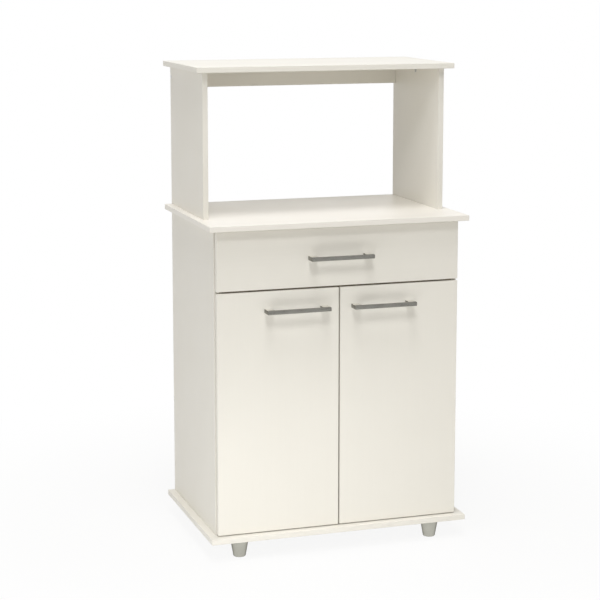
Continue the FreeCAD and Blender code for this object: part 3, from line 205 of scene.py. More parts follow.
def blend_colors(tree, factor, first, second):
    """The first colour where factor is 0 and the second where it is 1."""
    values = {0: factor, 6: first, 7: second}
    return add_node(tree, "ShaderNodeMix", values, data_type="RGBA").outputs[2]


def weigh(tree, first, first_share, second, second_share):
    """The sum of two patterns, each in its share."""
    return calculate(tree, "ADD", calculate(tree, "MULTIPLY", first, first_share),
                     calculate(tree, "MULTIPLY", second, second_share))


def add_bump(tree, shader, height, strength, depth):
    """Gives a shader a fine relief that follows a pattern."""
    bump = add_node(tree, "ShaderNodeBump", {"Height": height, "Strength": strength,
                                             "Distance": depth})
    tree.links.new(bump.outputs[0], shader.inputs["Normal"])


print("noise is read from", NOISE_LOW, "to", NOISE_HIGH)

# %% [markdown]
# ## Groups
# A node group is a small graph with named inputs and outputs that many materials share. Each
# group below puts out only what varies over a surface: a colour, a mask, a roughness or a
# height. What is the same everywhere stays on the shader itself.

# %% Write the group helpers
VALUE = "NodeSocketFloat"
VECTOR = "NodeSocketVector"
COLOR = "NodeSocketColor"


def start_group(name, inputs, outputs):
    """An empty node group with its sockets; returns its tree, its inputs and its results."""
    tree = bpy.data.node_groups.new(name, "ShaderNodeTree")
    for label, kind in inputs:
        tree.interface.new_socket(label, in_out="INPUT", socket_type=kind)
    for label, kind in outputs:
        tree.interface.new_socket(label, in_out="OUTPUT", socket_type=kind)
    entry = tree.nodes.new("NodeGroupInput")
    leave = tree.nodes.new("NodeGroupOutput")
    return tree, entry.outputs, leave.inputs


def use_group(tree, group, values):
    """Puts a node group into a material and returns what it gives."""
    return add_node(tree, "ShaderNodeGroup", values, node_tree=group).outputs


print("kinds of sockets:", VALUE, VECTOR, COLOR)

# %% [markdown]
# ## White floor and backdrop
# The cart stands on a plain pale floor. Near it a tenth of what the camera sees is a lit white
# surface and the rest is plain white, so a faint soft shadow stays. Further out the floor is
# all plain white for the camera and for reflections, and the world does the same, which gives
# the clean background without any brighter lamps. The light itself still falls on an
# ordinary white floor.

# %% Lay the floor and set the world
FLOOR_RADIUS = 9.0
FLOOR_SIDES = 96
FLOOR_WHITE = (0.86, 0.86, 0.85, 1)
PURE_WHITE = (1, 1, 1, 1)
NEAR_SHARE = 0.9
NEAR_END = 0.35
FAR_START = 1.3
FILL_STRENGTH = 0.37
WARM_FILL = (1, 0.965, 0.89, 1)


def seen_directly(tree):
    """1 for camera, glossy and transmission rays, 0 for the light that falls on things."""
    rays = tree.nodes.new("ShaderNodeLightPath")
    shown = calculate(tree, "MAXIMUM", rays.outputs["Is Camera Ray"], rays.outputs["Is Glossy Ray"])
    return calculate(tree, "MAXIMUM", shown, rays.outputs["Is Transmission Ray"])


def make_floor_material():
    material = bpy.data.materials.new("white_floor")
    material.use_nodes = True
    tree = material.node_tree
    tree.nodes.clear()
    place = add_node(tree, "ShaderNodeTexCoord").outputs["Object"]
    distance = vector_step(tree, "LENGTH", place)
    fade = remap(tree, distance, NEAR_END, FAR_START, NEAR_SHARE, 1.0, "SMOOTHSTEP")
    share = calculate(tree, "MULTIPLY", fade, seen_directly(tree))
    lit = add_node(tree, "ShaderNodeBsdfDiffuse", {"Color": FLOOR_WHITE})
    plain = add_node(tree, "ShaderNodeEmission", {"Color": PURE_WHITE, "Strength": 1.0})
    mixed = add_node(tree, "ShaderNodeMixShader",
                     {0: share, 1: lit.outputs[0], 2: plain.outputs[0]})
    add_node(tree, "ShaderNodeOutputMaterial", {"Surface": mixed.outputs[0]})
    return material


floor_mesh = bmesh.new()
bmesh.ops.create_circle(floor_mesh, cap_ends=True, segments=FLOOR_SIDES, radius=FLOOR_RADIUS)
floor_data = bpy.data.meshes.new("floor")
floor_mesh.to_mesh(floor_data)
floor_mesh.free()
floor = bpy.data.objects.new("floor", floor_data)
floor.data.materials.append(make_floor_material())
bpy.context.scene.collection.objects.link(floor)

world = bpy.data.worlds.new("pale_room")
world.use_nodes = True
bpy.context.scene.world = world
sky = world.node_tree
sky.nodes.clear()
fill = add_node(sky, "ShaderNodeBackground", {"Color": WARM_FILL, "Strength": FILL_STRENGTH})
backdrop = add_node(sky, "ShaderNodeBackground", {"Color": PURE_WHITE, "Strength": 1.0})
shown = seen_directly(sky)
both = add_node(sky, "ShaderNodeMixShader", {0: shown, 1: fill.outputs[0], 2: backdrop.outputs[0]})
add_node(sky, "ShaderNodeOutputWorld", {"Surface": both.outputs[0]})
print("floor radius:", FLOOR_RADIUS, "fill:", FILL_STRENGTH)

# %% [markdown]
# ## Melamine
# Melamine paper pressed on chipboard is nearly white but never one flat colour: a faint grain
# runs along the board, the tone drifts a little over a hand's width, and the press leaves a
# fine pearl texture that softens the gloss. One group makes these, stretched along the grain of
# each board, and puts out a colour, a roughness and a height for the bump.


# %% Make the melamine group
STREAK_SHARE = 0.6
TONE_LOW, TONE_HIGH = 0.34, 0.66
DRIFT_SCALE = 2.4
SMUDGE_SCALE = 9.0
PEARL_SCALE = 1100.0
SILKY, MATT = 0.33, 0.45
PEARL_HEIGHT, STREAK_HEIGHT = 0.7, 0.2


def make_melamine_group():
    tree, given, result = start_group(
        "melamine_skin",
        [("Place", VECTOR), ("Stretch", VECTOR), ("Tint", COLOR), ("Shade", COLOR)],
        [("Color", COLOR), ("Roughness", VALUE), ("Height", VALUE)])
    along = vector_step(tree, "MULTIPLY", given["Place"], given["Stretch"])
    streaks = noise(tree, along, scale=1.0, detail=5.0, roughness=0.6)
    drift = noise(tree, given["Place"], DRIFT_SCALE, detail=2.0)
    tone = weigh(tree, streaks, STREAK_SHARE, drift, 1 - STREAK_SHARE)
    factor = remap(tree, tone, TONE_LOW, TONE_HIGH, 0.0, 1.0, "SMOOTHSTEP")
    tree.links.new(blend_colors(tree, factor, given["Shade"], given["Tint"]), result["Color"])
    smudge = noise(tree, given["Place"], SMUDGE_SCALE, detail=4.0, roughness=0.65)
    gloss = remap(tree, smudge, NOISE_LOW, NOISE_HIGH, SILKY, MATT)
    tree.links.new(gloss, result["Roughness"])
    pearl = noise(tree, given["Place"], PEARL_SCALE, detail=2.0)
    height = weigh(tree, pearl, PEARL_HEIGHT, streaks, STREAK_HEIGHT)
    tree.links.new(height, result["Height"])
    return tree


melamine_skin = make_melamine_group()
print("group:", melamine_skin.name)

# %% [markdown]
# ## Edge bands
# The cut edges are covered by a glued band about a millimetre thick, whose joint shows as a
# hair line round the broad faces. The corners of the band get rubbed. Each board is a
# plain block, so its two corners are enough to find both: of the three distances from a point
# to the block's faces, the middle one is the distance to the nearest edge.


# %% Make the edge band group
BAND_THICKNESS = 1.05 * MM
RAGGED_SCALE, RAGGED_REACH = 60.0, 1.2 * MM
RUB_START, RUB_END = -0.4 * MM, 1.2 * MM
LINE_DARK, LINE_END = 0.05 * MM, 0.16 * MM
SKIN_DARK, SKIN_END = 0.05 * MM, 0.15 * MM


def make_edge_group():
    tree, given, result = start_group(
        "banded_edge",
        [("Place", VECTOR), ("Low", VECTOR), ("High", VECTOR), ("Thin axis", VECTOR)],
        [("Rub", VALUE), ("Seam", VALUE)])
    from_low = vector_step(tree, "SUBTRACT", given["Place"], given["Low"])
    from_high = vector_step(tree, "SUBTRACT", given["High"], given["Place"])
    nearest = vector_step(tree, "MINIMUM", from_low, from_high)
    x, y, z = add_node(tree, "ShaderNodeSeparateXYZ", {0: nearest}).outputs
    larger = calculate(tree, "MAXIMUM", x, y)
    middle = calculate(tree, "MAXIMUM", calculate(tree, "MINIMUM", x, y),
                       calculate(tree, "MINIMUM", larger, z))
    ragged = calculate(tree, "MULTIPLY", noise(tree, given["Place"], RAGGED_SCALE),
                       RAGGED_REACH)
    reach = calculate(tree, "SUBTRACT", middle, ragged)
    tree.links.new(remap(tree, reach, RUB_START, RUB_END, 1.0, 0.0, "SMOOTHSTEP"), result["Rub"])
    off_seam = calculate(tree, "ABSOLUTE", calculate(tree, "SUBTRACT", middle, BAND_THICKNESS))
    line = remap(tree, off_seam, LINE_DARK, LINE_END, 1.0, 0.0)
    depth = vector_step(tree, "DOT_PRODUCT", nearest, given["Thin axis"])
    broad = remap(tree, depth, SKIN_DARK, SKIN_END, 1.0, 0.0)
    tree.links.new(calculate(tree, "MULTIPLY", line, broad), result["Seam"])
    return tree


banded_edge = make_edge_group()
print("group:", banded_edge.name)

# %% [markdown]
# ## Raw chipboard and hardboard
# Only the edges that show get a band. The rear edges of the boards, and the edge of the rail
# that hides in the gap under the drawer, stay raw chipboard: brown wood flakes pressed
# flat. The thin back and the drawer's bottom are hardboard, printed white on one side
# and left brown on the other. One group of crowded flakes does both, at two scales.


# %% Make the raw wood group
FLAKE_SHARE = 0.7
LUMP_SCALE = 160.0


def make_raw_group():
    tree, given, result = start_group(
        "raw_wood",
        [("Place", VECTOR), ("Flakes", VALUE), ("Light", COLOR), ("Dark", COLOR)],
        [("Color", COLOR), ("Height", VALUE)])
    values = {"Vector": given["Place"], "Scale": given["Flakes"], "Randomness": 1.0}
    flakes = add_node(tree, "ShaderNodeTexVoronoi", values, distance="EUCLIDEAN")
    flat = add_node(tree, "ShaderNodeRGBToBW", {0: flakes.outputs["Color"]}).outputs[0]
    lumps = noise(tree, given["Place"], LUMP_SCALE, detail=4.0)
    factor = weigh(tree, flat, FLAKE_SHARE, lumps, 1 - FLAKE_SHARE)
    tree.links.new(blend_colors(tree, factor, given["Dark"], given["Light"]), result["Color"])
    tree.links.new(factor, result["Height"])
    return tree


raw_wood = make_raw_group()
print("group:", raw_wood.name)

# %% [markdown]
# ## Giving a part its finish
# Every finish starts the same way: a new material with one shader, and the place of each
# point in the part's own space, so that a pattern stays on a part that moves. The names of the
# finished parts are kept, to see at the end that none was forgotten.

# %% Write the material helpers
FINISHED = set()


def wear(name, material):
    """Gives a part of the frame its finish."""
    data = nodes[name].data
    data.materials.clear()
    data.materials.append(material)
    for face in data.polygons:
        face.material_index = 0
    FINISHED.add(name)


def start_material(name):
    """A new material with its shader and the place of each point on the part."""
    material = bpy.data.materials.new(name)
    material.use_nodes = True
    tree = material.node_tree
    tree.nodes.clear()
    shader = add_node(tree, "ShaderNodeBsdfPrincipled")
    add_node(tree, "ShaderNodeOutputMaterial", {"Surface": shader.outputs[0]})
    place = add_node(tree, "ShaderNodeTexCoord").outputs["Object"]
    return material, tree, shader, place


print("finished so far:", len(FINISHED))

# %% [markdown]
# ## The boards and their raw sides
# Each board is listed with two letters: the axis it is thin along, and the axis its grain runs
# along, which is its length. A few sides have no band. On each of those a thin layer is raw,
# given by the way it faces, its depth, and its wood as size and colours of the flakes.

# %% List the boards
AXES = {"x": Vector((1, 0, 0)), "y": Vector((0, 1, 0)), "z": Vector((0, 0, 1))}
BACKWARD = Vector((0, 1, 0))
FORWARD = Vector((0, -1, 0))
DOWNWARD = Vector((0, 0, -1))
EDGE_SKIN = 0.3 * MM
HARDBOARD_HALF = 1.5 * MM
CHIPBOARD = (650.0, (0.52, 0.39, 0.25, 1), (0.22, 0.145, 0.085, 1))
HARDBOARD = (2600.0, (0.36, 0.22, 0.12, 1), (0.24, 0.14, 0.075, 1))
RAW_SIDES = {name: (BACKWARD, EDGE_SKIN, CHIPBOARD) for name in (
    "base_panel", "worktop", "top_shelf", "inner_shelf", "cabinet_side_left",
    "cabinet_side_right", "hutch_side_left", "hutch_side_right")}
RAW_SIDES["front_rail"] = (FORWARD, EDGE_SKIN, CHIPBOARD)
RAW_SIDES["cabinet_back_panel"] = (BACKWARD, HARDBOARD_HALF, HARDBOARD)
RAW_SIDES["drawer_bottom"] = (DOWNWARD, HARDBOARD_HALF, HARDBOARD)
BOARDS = {
    "base_panel": "zx", "worktop": "zx", "top_shelf": "zx", "inner_shelf": "zx", "front_rail": "zx",
    "cabinet_side_left": "xz", "cabinet_side_right": "xz",
    "hutch_side_left": "xz", "hutch_side_right": "xz", "hutch_back_rail": "yx",
    "left_door_panel": "yz", "right_door_panel": "yz", "drawer_front": "yx",
    "drawer_side_left": "xy", "drawer_side_right": "xy", "drawer_back": "yx",
    "cabinet_back_panel": "yz", "drawer_bottom": "zx",
}
print("boards:", len(BOARDS), "with a raw side:", len(RAW_SIDES))

# %% [markdown]
# ## One finish for each board
# Every board is nearly the same white. The worktop is made a touch lighter, which is painted
# light for the light that falls on its top. Each board's grain follows its length and its edge
# band follows its own block, so each gets its own material from the groups above. The base
# colour is a warm white that stays below pure white, because a real board returns a little less
# light than it gets. A few sides are raw: on those the material turns to chipboard or hardboard
# within a thin layer.

# %% Finish the boards
MELAMINE_TINT = (0.87, 0.847, 0.785, 1)
MELAMINE_SHADE = (0.862, 0.839, 0.777, 1)
# Painted light: the worktop's copy of the melamine colours, lighter for the light on its top.
WORKTOP_PAINTED_LIGHT_TINT = (0.92, 0.89, 0.835, 1)
WORKTOP_PAINTED_LIGHT_GRAIN = (0.91, 0.88, 0.825, 1)
RUBBED_TINT = (0.83, 0.807, 0.745, 1)
SEAM_TINT = (0.60, 0.58, 0.53, 1)
RUB_SHARE = 0.5
SEAM_SHARE = 0.7
ALONG_GRAIN = 5.0
ACROSS_GRAIN = 230.0
BOARD_GLOSS = 0.4
PRESS_STRENGTH, PRESS_DEPTH = 0.25, 0.06 * MM
RAW_ROUGHNESS = 0.8
RAW_HEIGHT = 4.0


def make_board_material(name, thin, grain):
    """The finish of one board, from the axis it is thin along and the axis of its grain."""
    material, tree, shader, place = start_material(f"melamine_{name}")
    low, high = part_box(name)
    tint, shade = MELAMINE_TINT, MELAMINE_SHADE
    # The worktop wears the lighter copy, which is painted light on the same melamine as the rest.
    if name == "worktop":
        tint, shade = WORKTOP_PAINTED_LIGHT_TINT, WORKTOP_PAINTED_LIGHT_GRAIN
    stretch = Vector([ALONG_GRAIN if AXES[grain][i] else ACROSS_GRAIN for i in range(3)])
    skin = use_group(tree, melamine_skin, {"Place": place, "Stretch": stretch,
                                           "Tint": tint, "Shade": shade})
    edge = use_group(tree, banded_edge, {"Place": place, "Low": low, "High": high,
                                         "Thin axis": AXES[thin]})
    rub = calculate(tree, "MULTIPLY", edge["Rub"], RUB_SHARE)
    rubbed = blend_colors(tree, rub, skin["Color"], RUBBED_TINT)
    seam = calculate(tree, "MULTIPLY", edge["Seam"], SEAM_SHARE)
    color = blend_colors(tree, seam, rubbed, SEAM_TINT)
    roughness = skin["Roughness"]
    height = calculate(tree, "SUBTRACT", skin["Height"], edge["Seam"])
    if name in RAW_SIDES:
        side, skin_depth, (flakes, light, dark) = RAW_SIDES[name]
        raw = use_group(tree, raw_wood, {"Place": place, "Flakes": flakes, "Light": light,
                                         "Dark": dark})
        limit = max(low.dot(side), high.dot(side)) - skin_depth
        along_side = vector_step(tree, "DOT_PRODUCT", place, side)
        bare = calculate(tree, "GREATER_THAN", along_side, limit)
        color = blend_colors(tree, bare, color, raw["Color"])
        dull = calculate(tree, "MULTIPLY", bare, RAW_ROUGHNESS)
        roughness = calculate(tree, "MAXIMUM", roughness, dull)
        coarse = calculate(tree, "MULTIPLY", bare, RAW_HEIGHT)
        height = calculate(tree, "ADD", height, calculate(tree, "MULTIPLY", raw["Height"], coarse))
    tree.links.new(color, shader.inputs["Base Color"])
    tree.links.new(roughness, shader.inputs["Roughness"])
    add_bump(tree, shader, height, PRESS_STRENGTH, PRESS_DEPTH)
    shader.inputs["Specular IOR Level"].default_value = BOARD_GLOSS
    return material


for name, (thin, grain) in BOARDS.items():
    wear(name, make_board_material(name, thin, grain))
print("boards finished:", len(BOARDS))

# %% [markdown]
# ## Metal
# The bars of the handles are satin grey, the feet are a warmer grey, and the fittings inside
# are nickel or zinc plated steel. All come from one group: long scratches along one direction,
# a slow change of tone, and a roughness that follows the scratches.


# %% Make the metal group
SCRATCH_SHARE = 0.5
CLOUD_SCALE = 45.0
SHADE_LOW, SHADE_HIGH = 0.35, 0.65
SCRATCH_STRENGTH, SCRATCH_DEPTH = 0.2, 0.05 * MM


def make_metal_group():
    tree, given, result = start_group(
        "satin_metal",
        [("Place", VECTOR), ("Stretch", VECTOR), ("Light", COLOR), ("Dark", COLOR),
         ("Smooth", VALUE), ("Rough", VALUE)],
        [("Color", COLOR), ("Roughness", VALUE), ("Height", VALUE)])
    along = vector_step(tree, "MULTIPLY", given["Place"], given["Stretch"])
    scratches = noise(tree, along, scale=1.0, detail=6.0, roughness=0.7)
    cloud = noise(tree, given["Place"], CLOUD_SCALE)
    factor = weigh(tree, scratches, SCRATCH_SHARE, cloud, 1 - SCRATCH_SHARE)
    shade = remap(tree, factor, SHADE_LOW, SHADE_HIGH, 0.0, 1.0)
    tree.links.new(blend_colors(tree, shade, given["Dark"], given["Light"]), result["Color"])
    share = remap(tree, scratches, NOISE_LOW, NOISE_HIGH, 0.0, 1.0)
    spread = calculate(tree, "SUBTRACT", given["Rough"], given["Smooth"])
    roughness = calculate(tree, "ADD", given["Smooth"], calculate(tree, "MULTIPLY", share, spread))
    tree.links.new(roughness, result["Roughness"])
    tree.links.new(scratches, result["Height"])
    return tree


satin_metal = make_metal_group()
print("group:", satin_metal.name)


# %% [markdown]
# ## Which metal each part wears
# Each metal sets its colours, the stretch of its scratches and its range of gloss. Bare metal
# gets nearly white at its rim. On the feet the shader's edge tint is set nearly black instead,
# which is painted shade that darkens their rim so that they read as round. Words in the name of
# a part tell which metal it wears, and where two rows of the list fit, the last one counts.


# %% Finish the metal parts
def make_metal(name, light, dark, stretch, smooth, rough, painted_rim_shade=None):
    """A metal finish; the last argument, where given, is a dark tint at the metal's edge: painted
    shade that darkens the edge.
    """
    material, tree, shader, place = start_material(name)
    metal = use_group(tree, satin_metal, {"Place": place, "Stretch": stretch, "Light": light,
                                          "Dark": dark, "Smooth": smooth, "Rough": rough})
    tree.links.new(metal["Color"], shader.inputs["Base Color"])
    tree.links.new(metal["Roughness"], shader.inputs["Roughness"])
    add_bump(tree, shader, metal["Height"], SCRATCH_STRENGTH, SCRATCH_DEPTH)
    shader.inputs["Metallic"].default_value = 1.0
    # An edge tint near black is painted shade: it darkens the metal towards its edge.
    if painted_rim_shade:
        shader.inputs["Specular Tint"].default_value = painted_rim_shade
    return material


HANDLE_PARTS = ["drawer_handle", "left_door_handle", "right_door_handle"]
FEET = ["foot_front_left", "foot_front_right", "foot_rear_left", "foot_rear_right"]
handle_lacquer = make_metal("handle_lacquer", (0.235, 0.231, 0.208, 1), (0.195, 0.191, 0.171, 1),
                            stretch=(40, 900, 900), smooth=0.24, rough=0.36)
# Painted highlight: a light copy of the handle metal, for the tops and bottoms of the posts.
handle_painted_highlight = make_metal("handle_painted_highlight", (0.90, 0.89, 0.85, 1), (0.82, 0.81, 0.77, 1),
                           stretch=(40, 900, 900), smooth=0.16, rough=0.26)
# Painted shade: the feet's edge tint is nearly black, so their rims render darker.
foot_metal = make_metal("foot_metal", (0.50, 0.495, 0.44, 1), (0.43, 0.425, 0.375, 1),
                        stretch=(120, 120, 900), smooth=0.28, rough=0.42,
                        painted_rim_shade=(0.02, 0.02, 0.015, 1))
zinc = make_metal("zinc_plate", (0.66, 0.67, 0.68, 1), (0.54, 0.55, 0.56, 1),
                  stretch=(300, 300, 300), smooth=0.25, rough=0.42)
nickel = make_metal("hinge_nickel", (0.70, 0.69, 0.67, 1), (0.60, 0.595, 0.58, 1),
                    stretch=(200, 600, 600), smooth=0.18, rough=0.32)
METAL_WORDS = [
    (HANDLE_PARTS, handle_lacquer), (FEET, foot_metal),
    (("hinge_arms", "hinge_cups", "links", "hinge_plates"), nickel),
    (("screws", "cam_", "shelf_pins"), zinc),
]
for name in nodes:
    for words, metal in METAL_WORDS:
        if any(word in name for word in words):
            wear(name, metal)
print("finished so far:", len(FINISHED))

# %% [markdown]
# ## Beech, nylon and coated steel
# The dowels are raw beech with a visible grain, the runner wheels are milky nylon and the
# runners are powder coated, which leaves the tiny dimples of orange peel.


# %% Finish the inner parts
SHEEN_RANGE = 0.12
DIMPLE_STRENGTH = 0.3


def make_plain_material(name, light, dark, stretch, scale, roughness, depth):
    """A finish with one stretched pattern that drives its colour and its bump."""
    material, tree, shader, place = start_material(name)
    along = vector_step(tree, "MULTIPLY", place, stretch)
    pattern = noise(tree, along, scale, detail=5.0, roughness=0.6)
    factor = remap(tree, pattern, SHADE_LOW, SHADE_HIGH, 0.0, 1.0)
    tree.links.new(blend_colors(tree, factor, dark, light), shader.inputs["Base Color"])
    sheen = remap(tree, pattern, NOISE_LOW, NOISE_HIGH, roughness, roughness + SHEEN_RANGE)
    tree.links.new(sheen, shader.inputs["Roughness"])
    add_bump(tree, shader, pattern, DIMPLE_STRENGTH, depth)
    return material


beech = make_plain_material("dowel_beech", (0.60, 0.42, 0.25, 1), (0.44, 0.28, 0.15, 1),
                            stretch=(1, 1, 0.15), scale=700.0, roughness=0.55, depth=0.1 * MM)
nylon = make_plain_material("wheel_nylon", (0.80, 0.80, 0.77, 1), (0.74, 0.74, 0.71, 1),
                            stretch=(1, 1, 1), scale=240.0, roughness=0.35, depth=0.03 * MM)
powder = make_plain_material("runner_powder_coat", (0.83, 0.82, 0.79, 1), (0.79, 0.78, 0.75, 1),
                             stretch=(1, 1, 1), scale=900.0, roughness=0.38, depth=0.08 * MM)
for name in nodes:
    if name.startswith("roller_"):
        wear(name, nylon)
    if name.startswith("runner_"):
        wear(name, powder)
    if name in ("dowels", "drawer_dowels"):
        wear(name, beech)
print("unfinished:", sorted(set(nodes) - FINISHED))

# %% [markdown]
# ## Small pieces and the parts that carry them
# The pieces modelled below stand for parts of the frame whose shape was kept simple there.
# Each one takes its place from the box of its part, moves with the same body and keeps its
# material slot, so doors and drawer still open with everything on them.

# %% Write the modelling helpers
RECORD = frame["record"]
PIECE_BODY = {name: body for body, members in RECORD["behaviour"]["bodies"].items()
              for name in members}
SMOOTH_BELOW = math.radians(35)


def finish_piece(mesh, name, stands_for, finishes):
    """Turns a modelled mesh into a piece that stands for a part of the frame."""
    bmesh.ops.recalc_face_normals(mesh, faces=mesh.faces)
    data = bpy.data.meshes.new(name)
    mesh.to_mesh(data)
    mesh.free()
    data.shade_smooth()
    data.set_sharp_from_angle(angle=SMOOTH_BELOW)
    for finish in finishes:
        data.materials.append(finish)
    piece = bpy.data.objects.new(name, data)
    bpy.context.scene.collection.objects.link(piece)
    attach(piece, PIECE_BODY[stands_for])
    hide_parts(stands_for)
    return piece


def new_items(result, kind):
    """What an operator has made, of one kind: corners, edges or faces."""
    return [item for item in result["geom"] if isinstance(item, kind)]


print("bodies with parts:", len(set(PIECE_BODY.values())))

# %% [markdown]
# ## Drawing an outline out
# Bars and posts are both made by drawing a rounded outline out along a line, step by step.
# Each step says how far along it is and how much smaller the outline is there, so an end can
# be softened, and a small step in and out makes a groove. What is drawn stands upright, and
# is then turned into its place and joined to the rest.

# %% Write the drawing helpers
CORNER_STEPS = 4


def draw_out(width, height, corner, levels):
    """A rounded outline drawn up through levels of (distance, how much smaller all round)."""
    mesh = bmesh.new()
    corners = bmesh.ops.create_grid(mesh, x_segments=1, y_segments=1, size=0.5)["verts"]
    bmesh.ops.scale(mesh, vec=(width, height, 1), verts=corners)
    bmesh.ops.bevel(mesh, geom=corners, offset=corner, offset_type="OFFSET", segments=CORNER_STEPS,
                    profile=0.5, affect="VERTICES", material=-1)
    face = mesh.faces[:][0]
    last = (0.0, 0.0)
    for index, (level, smaller) in enumerate(levels):
        if index:
            start = face
            drawn = bmesh.ops.extrude_face_region(mesh, geom=[start])
            face = new_items(drawn, bmesh.types.BMFace)[0]
            if index > 1:
                bmesh.ops.delete(mesh, geom=[start], context="FACES_ONLY")
        fit = Vector(((width - 2 * smaller) / (width - 2 * last[1]),
                      (height - 2 * smaller) / (height - 2 * last[1]), 1))
        bmesh.ops.scale(mesh, vec=fit, verts=face.verts)
        bmesh.ops.translate(mesh, vec=(0, 0, level - last[0]), verts=face.verts)
        last = (level, smaller)
    return mesh


def join_turned(target, source, matrix):
    """Adds a copy of one mesh to another, turned and moved by the matrix."""
    source.transform(matrix)
    data = bpy.data.meshes.new("part_of_piece")
    source.to_mesh(data)
    source.free()
    target.from_mesh(data)
    bpy.data.meshes.remove(data)


sample = draw_out(8 * MM, 8 * MM, 1 * MM, [(0, 0), (20 * MM, 0)])
print("faces of a plain bar:", len(sample.faces))
sample.free()

# %% [markdown]
# ## Bar handles
# Each handle is a square bar on two posts. Fine grooves show where the end caps meet the bar
# and where the posts meet its back. The flat top and bottom faces of the posts get a far lighter
# metal, nearly as light as the door: a painted highlight for the light that falls on the tops
# from above, given to the bottoms too. The rest is the handle's satin grey, so faces of one
# mesh point at different materials.

# %% Model the handles
BAR_DEPTH = 8 * MM
POST_WIDTH = 18 * MM
BAR_CORNER = 1.6 * MM
POST_CORNER = 1.0 * MM
CAP_LENGTH = 5 * MM
GROOVE = 0.35 * MM
POST_SINK = 1 * MM
POST_FOOT = 0.4 * MM
LEVEL_ENOUGH = 0.9
SOFT_END = [(0, 1.2 * MM), (0.3 * MM, 0.5 * MM), (1.0 * MM, 0)]
# Material slots of a handle: its satin grey, and the painted highlight on the post tops and
# bottoms.
SATIN, PAINTED_HIGHLIGHT = 0, 1
ALONG_X = Matrix(((0, 0, 1), (1, 0, 0), (0, 1, 0))).to_4x4()
TOWARDS_FRONT = Matrix(((1, 0, 0), (0, 0, -1), (0, 1, 0))).to_4x4()


def groove_steps(level):
    """The steps in and out of a groove round the bar."""
    half = GROOVE / 2
    return [(level - half, 0), (level - half, GROOVE), (level + half, GROOVE), (level + half, 0)]


def model_handle(part):
    """A bar on two posts that fills the box of its part."""
    low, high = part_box(part)
    length, reach, height = high - low
    levels = SOFT_END + groove_steps(CAP_LENGTH) + groove_steps(length - CAP_LENGTH)
    levels += [(length - level, smaller) for level, smaller in reversed(SOFT_END)]
    handle = bmesh.new()
    bar = draw_out(BAR_DEPTH, height, BAR_CORNER, levels)
    middle_height = (low.z + high.z) / 2
    bar_end = Vector((low.x, low.y + BAR_DEPTH / 2, middle_height))
    join_turned(handle, bar, Matrix.Translation(bar_end) @ ALONG_X)
    stem = reach - BAR_DEPTH
    for x in (low.x + POST_WIDTH / 2, high.x - POST_WIDTH / 2):
        post_levels = [(0, POST_FOOT), (POST_FOOT, 0), (stem - GROOVE, 0),
                       (stem - GROOVE, GROOVE), (stem + POST_SINK, GROOVE)]
        post = draw_out(POST_WIDTH, height, POST_CORNER, post_levels)
        post.normal_update()
        for side in post.faces:
            # Faces pointing up or down get the painted highlight, the rest stays satin grey.
            side.material_index = PAINTED_HIGHLIGHT if abs(side.normal.y) > LEVEL_ENOUGH else SATIN
        foot = Vector((x, high.y, middle_height))
        join_turned(handle, post, Matrix.Translation(foot) @ TOWARDS_FRONT)
    return finish_piece(handle, f"{part}_bar", part, [handle_lacquer, handle_painted_highlight])


handles = [model_handle(part) for part in HANDLE_PARTS]
print("handles:", [(piece.name, len(piece.data.polygons)) for piece in handles])

# %% [markdown]
# ## Where the screws sit
# The real places are read from the simple screws of the frame, of which one part holds
# several. Walking from corner to corner along the edges gathers one of them. Its longest side
# is the way it goes in, and its wider end is the head.

# %% Find the simple screws
SAME_POINT = 0.001 * MM
SAME_LEVEL = 0.01 * MM


def read_solids(part):
    """The points of each separate solid in a part of the frame."""
    mesh = bmesh.new()
    mesh.from_mesh(nodes[part].data)
    bmesh.ops.remove_doubles(mesh, verts=mesh.verts, dist=SAME_POINT)
    solids, seen = [], set()
    for start in mesh.verts:
        if start in seen:
            continue
        seen.add(start)
        points, waiting = [], [start]
        while waiting:
            corner = waiting.pop()
            points.append(corner.co.copy())
            for edge in corner.link_edges:
                other = edge.other_vert(corner)
                if other not in seen:
                    seen.add(other)
                    waiting.append(other)
        solids.append(points)
    mesh.free()
    return solids


def find_screw(points):
    """Where the middle of the head's face is, and which way the screw goes in."""
    low = Vector([min(point[i] for point in points) for i in range(3)])
    high = Vector([max(point[i] for point in points) for i in range(3)])
    span = high - low
    axis = max(range(3), key=lambda i: span[i])
    center = (low + high) / 2

    def widest(level):
        ends = [point - center for point in points if abs(point[axis] - level) < SAME_LEVEL]
        return max(math.hypot(*[end[i] for i in range(3) if i != axis]) for end in ends)

    head_low = widest(low[axis]) > widest(high[axis])
    into = Vector((0, 0, 0))
    into[axis] = 1 if head_low else -1
    face = center.copy()
    face[axis] = low[axis] if head_low else high[axis]
    return face, into


print("panel screws:", len(read_solids("panel_screws")))

# %% [markdown]
# ## Screws
# A screw shows as a small disc with a cross in it. The cross is a plus of squares in a grid,
# pushed into the head and narrowed. The grid's outline is pulled out to a round rim, and
# its edge is extruded down the head and shank to the point. A thin triangle spun
# upwards round the shank cuts the thread.

# %% Model the screws
GRID_CELLS = 7
CROSS_SHARE = 0.7
CORE_SHARE = 0.74
TURN_STEPS = 14
TIP_RADIUS = 0.15 * MM
DOME_RIM = 0.8
RIM_RISE = 0.1
SHOULDER_RISE = 0.45
RECESS_TAPER = 0.7
RECESS_DEPTH = 0.6
THREAD_ROOT = 0.95
THREAD_SHARE = 0.5
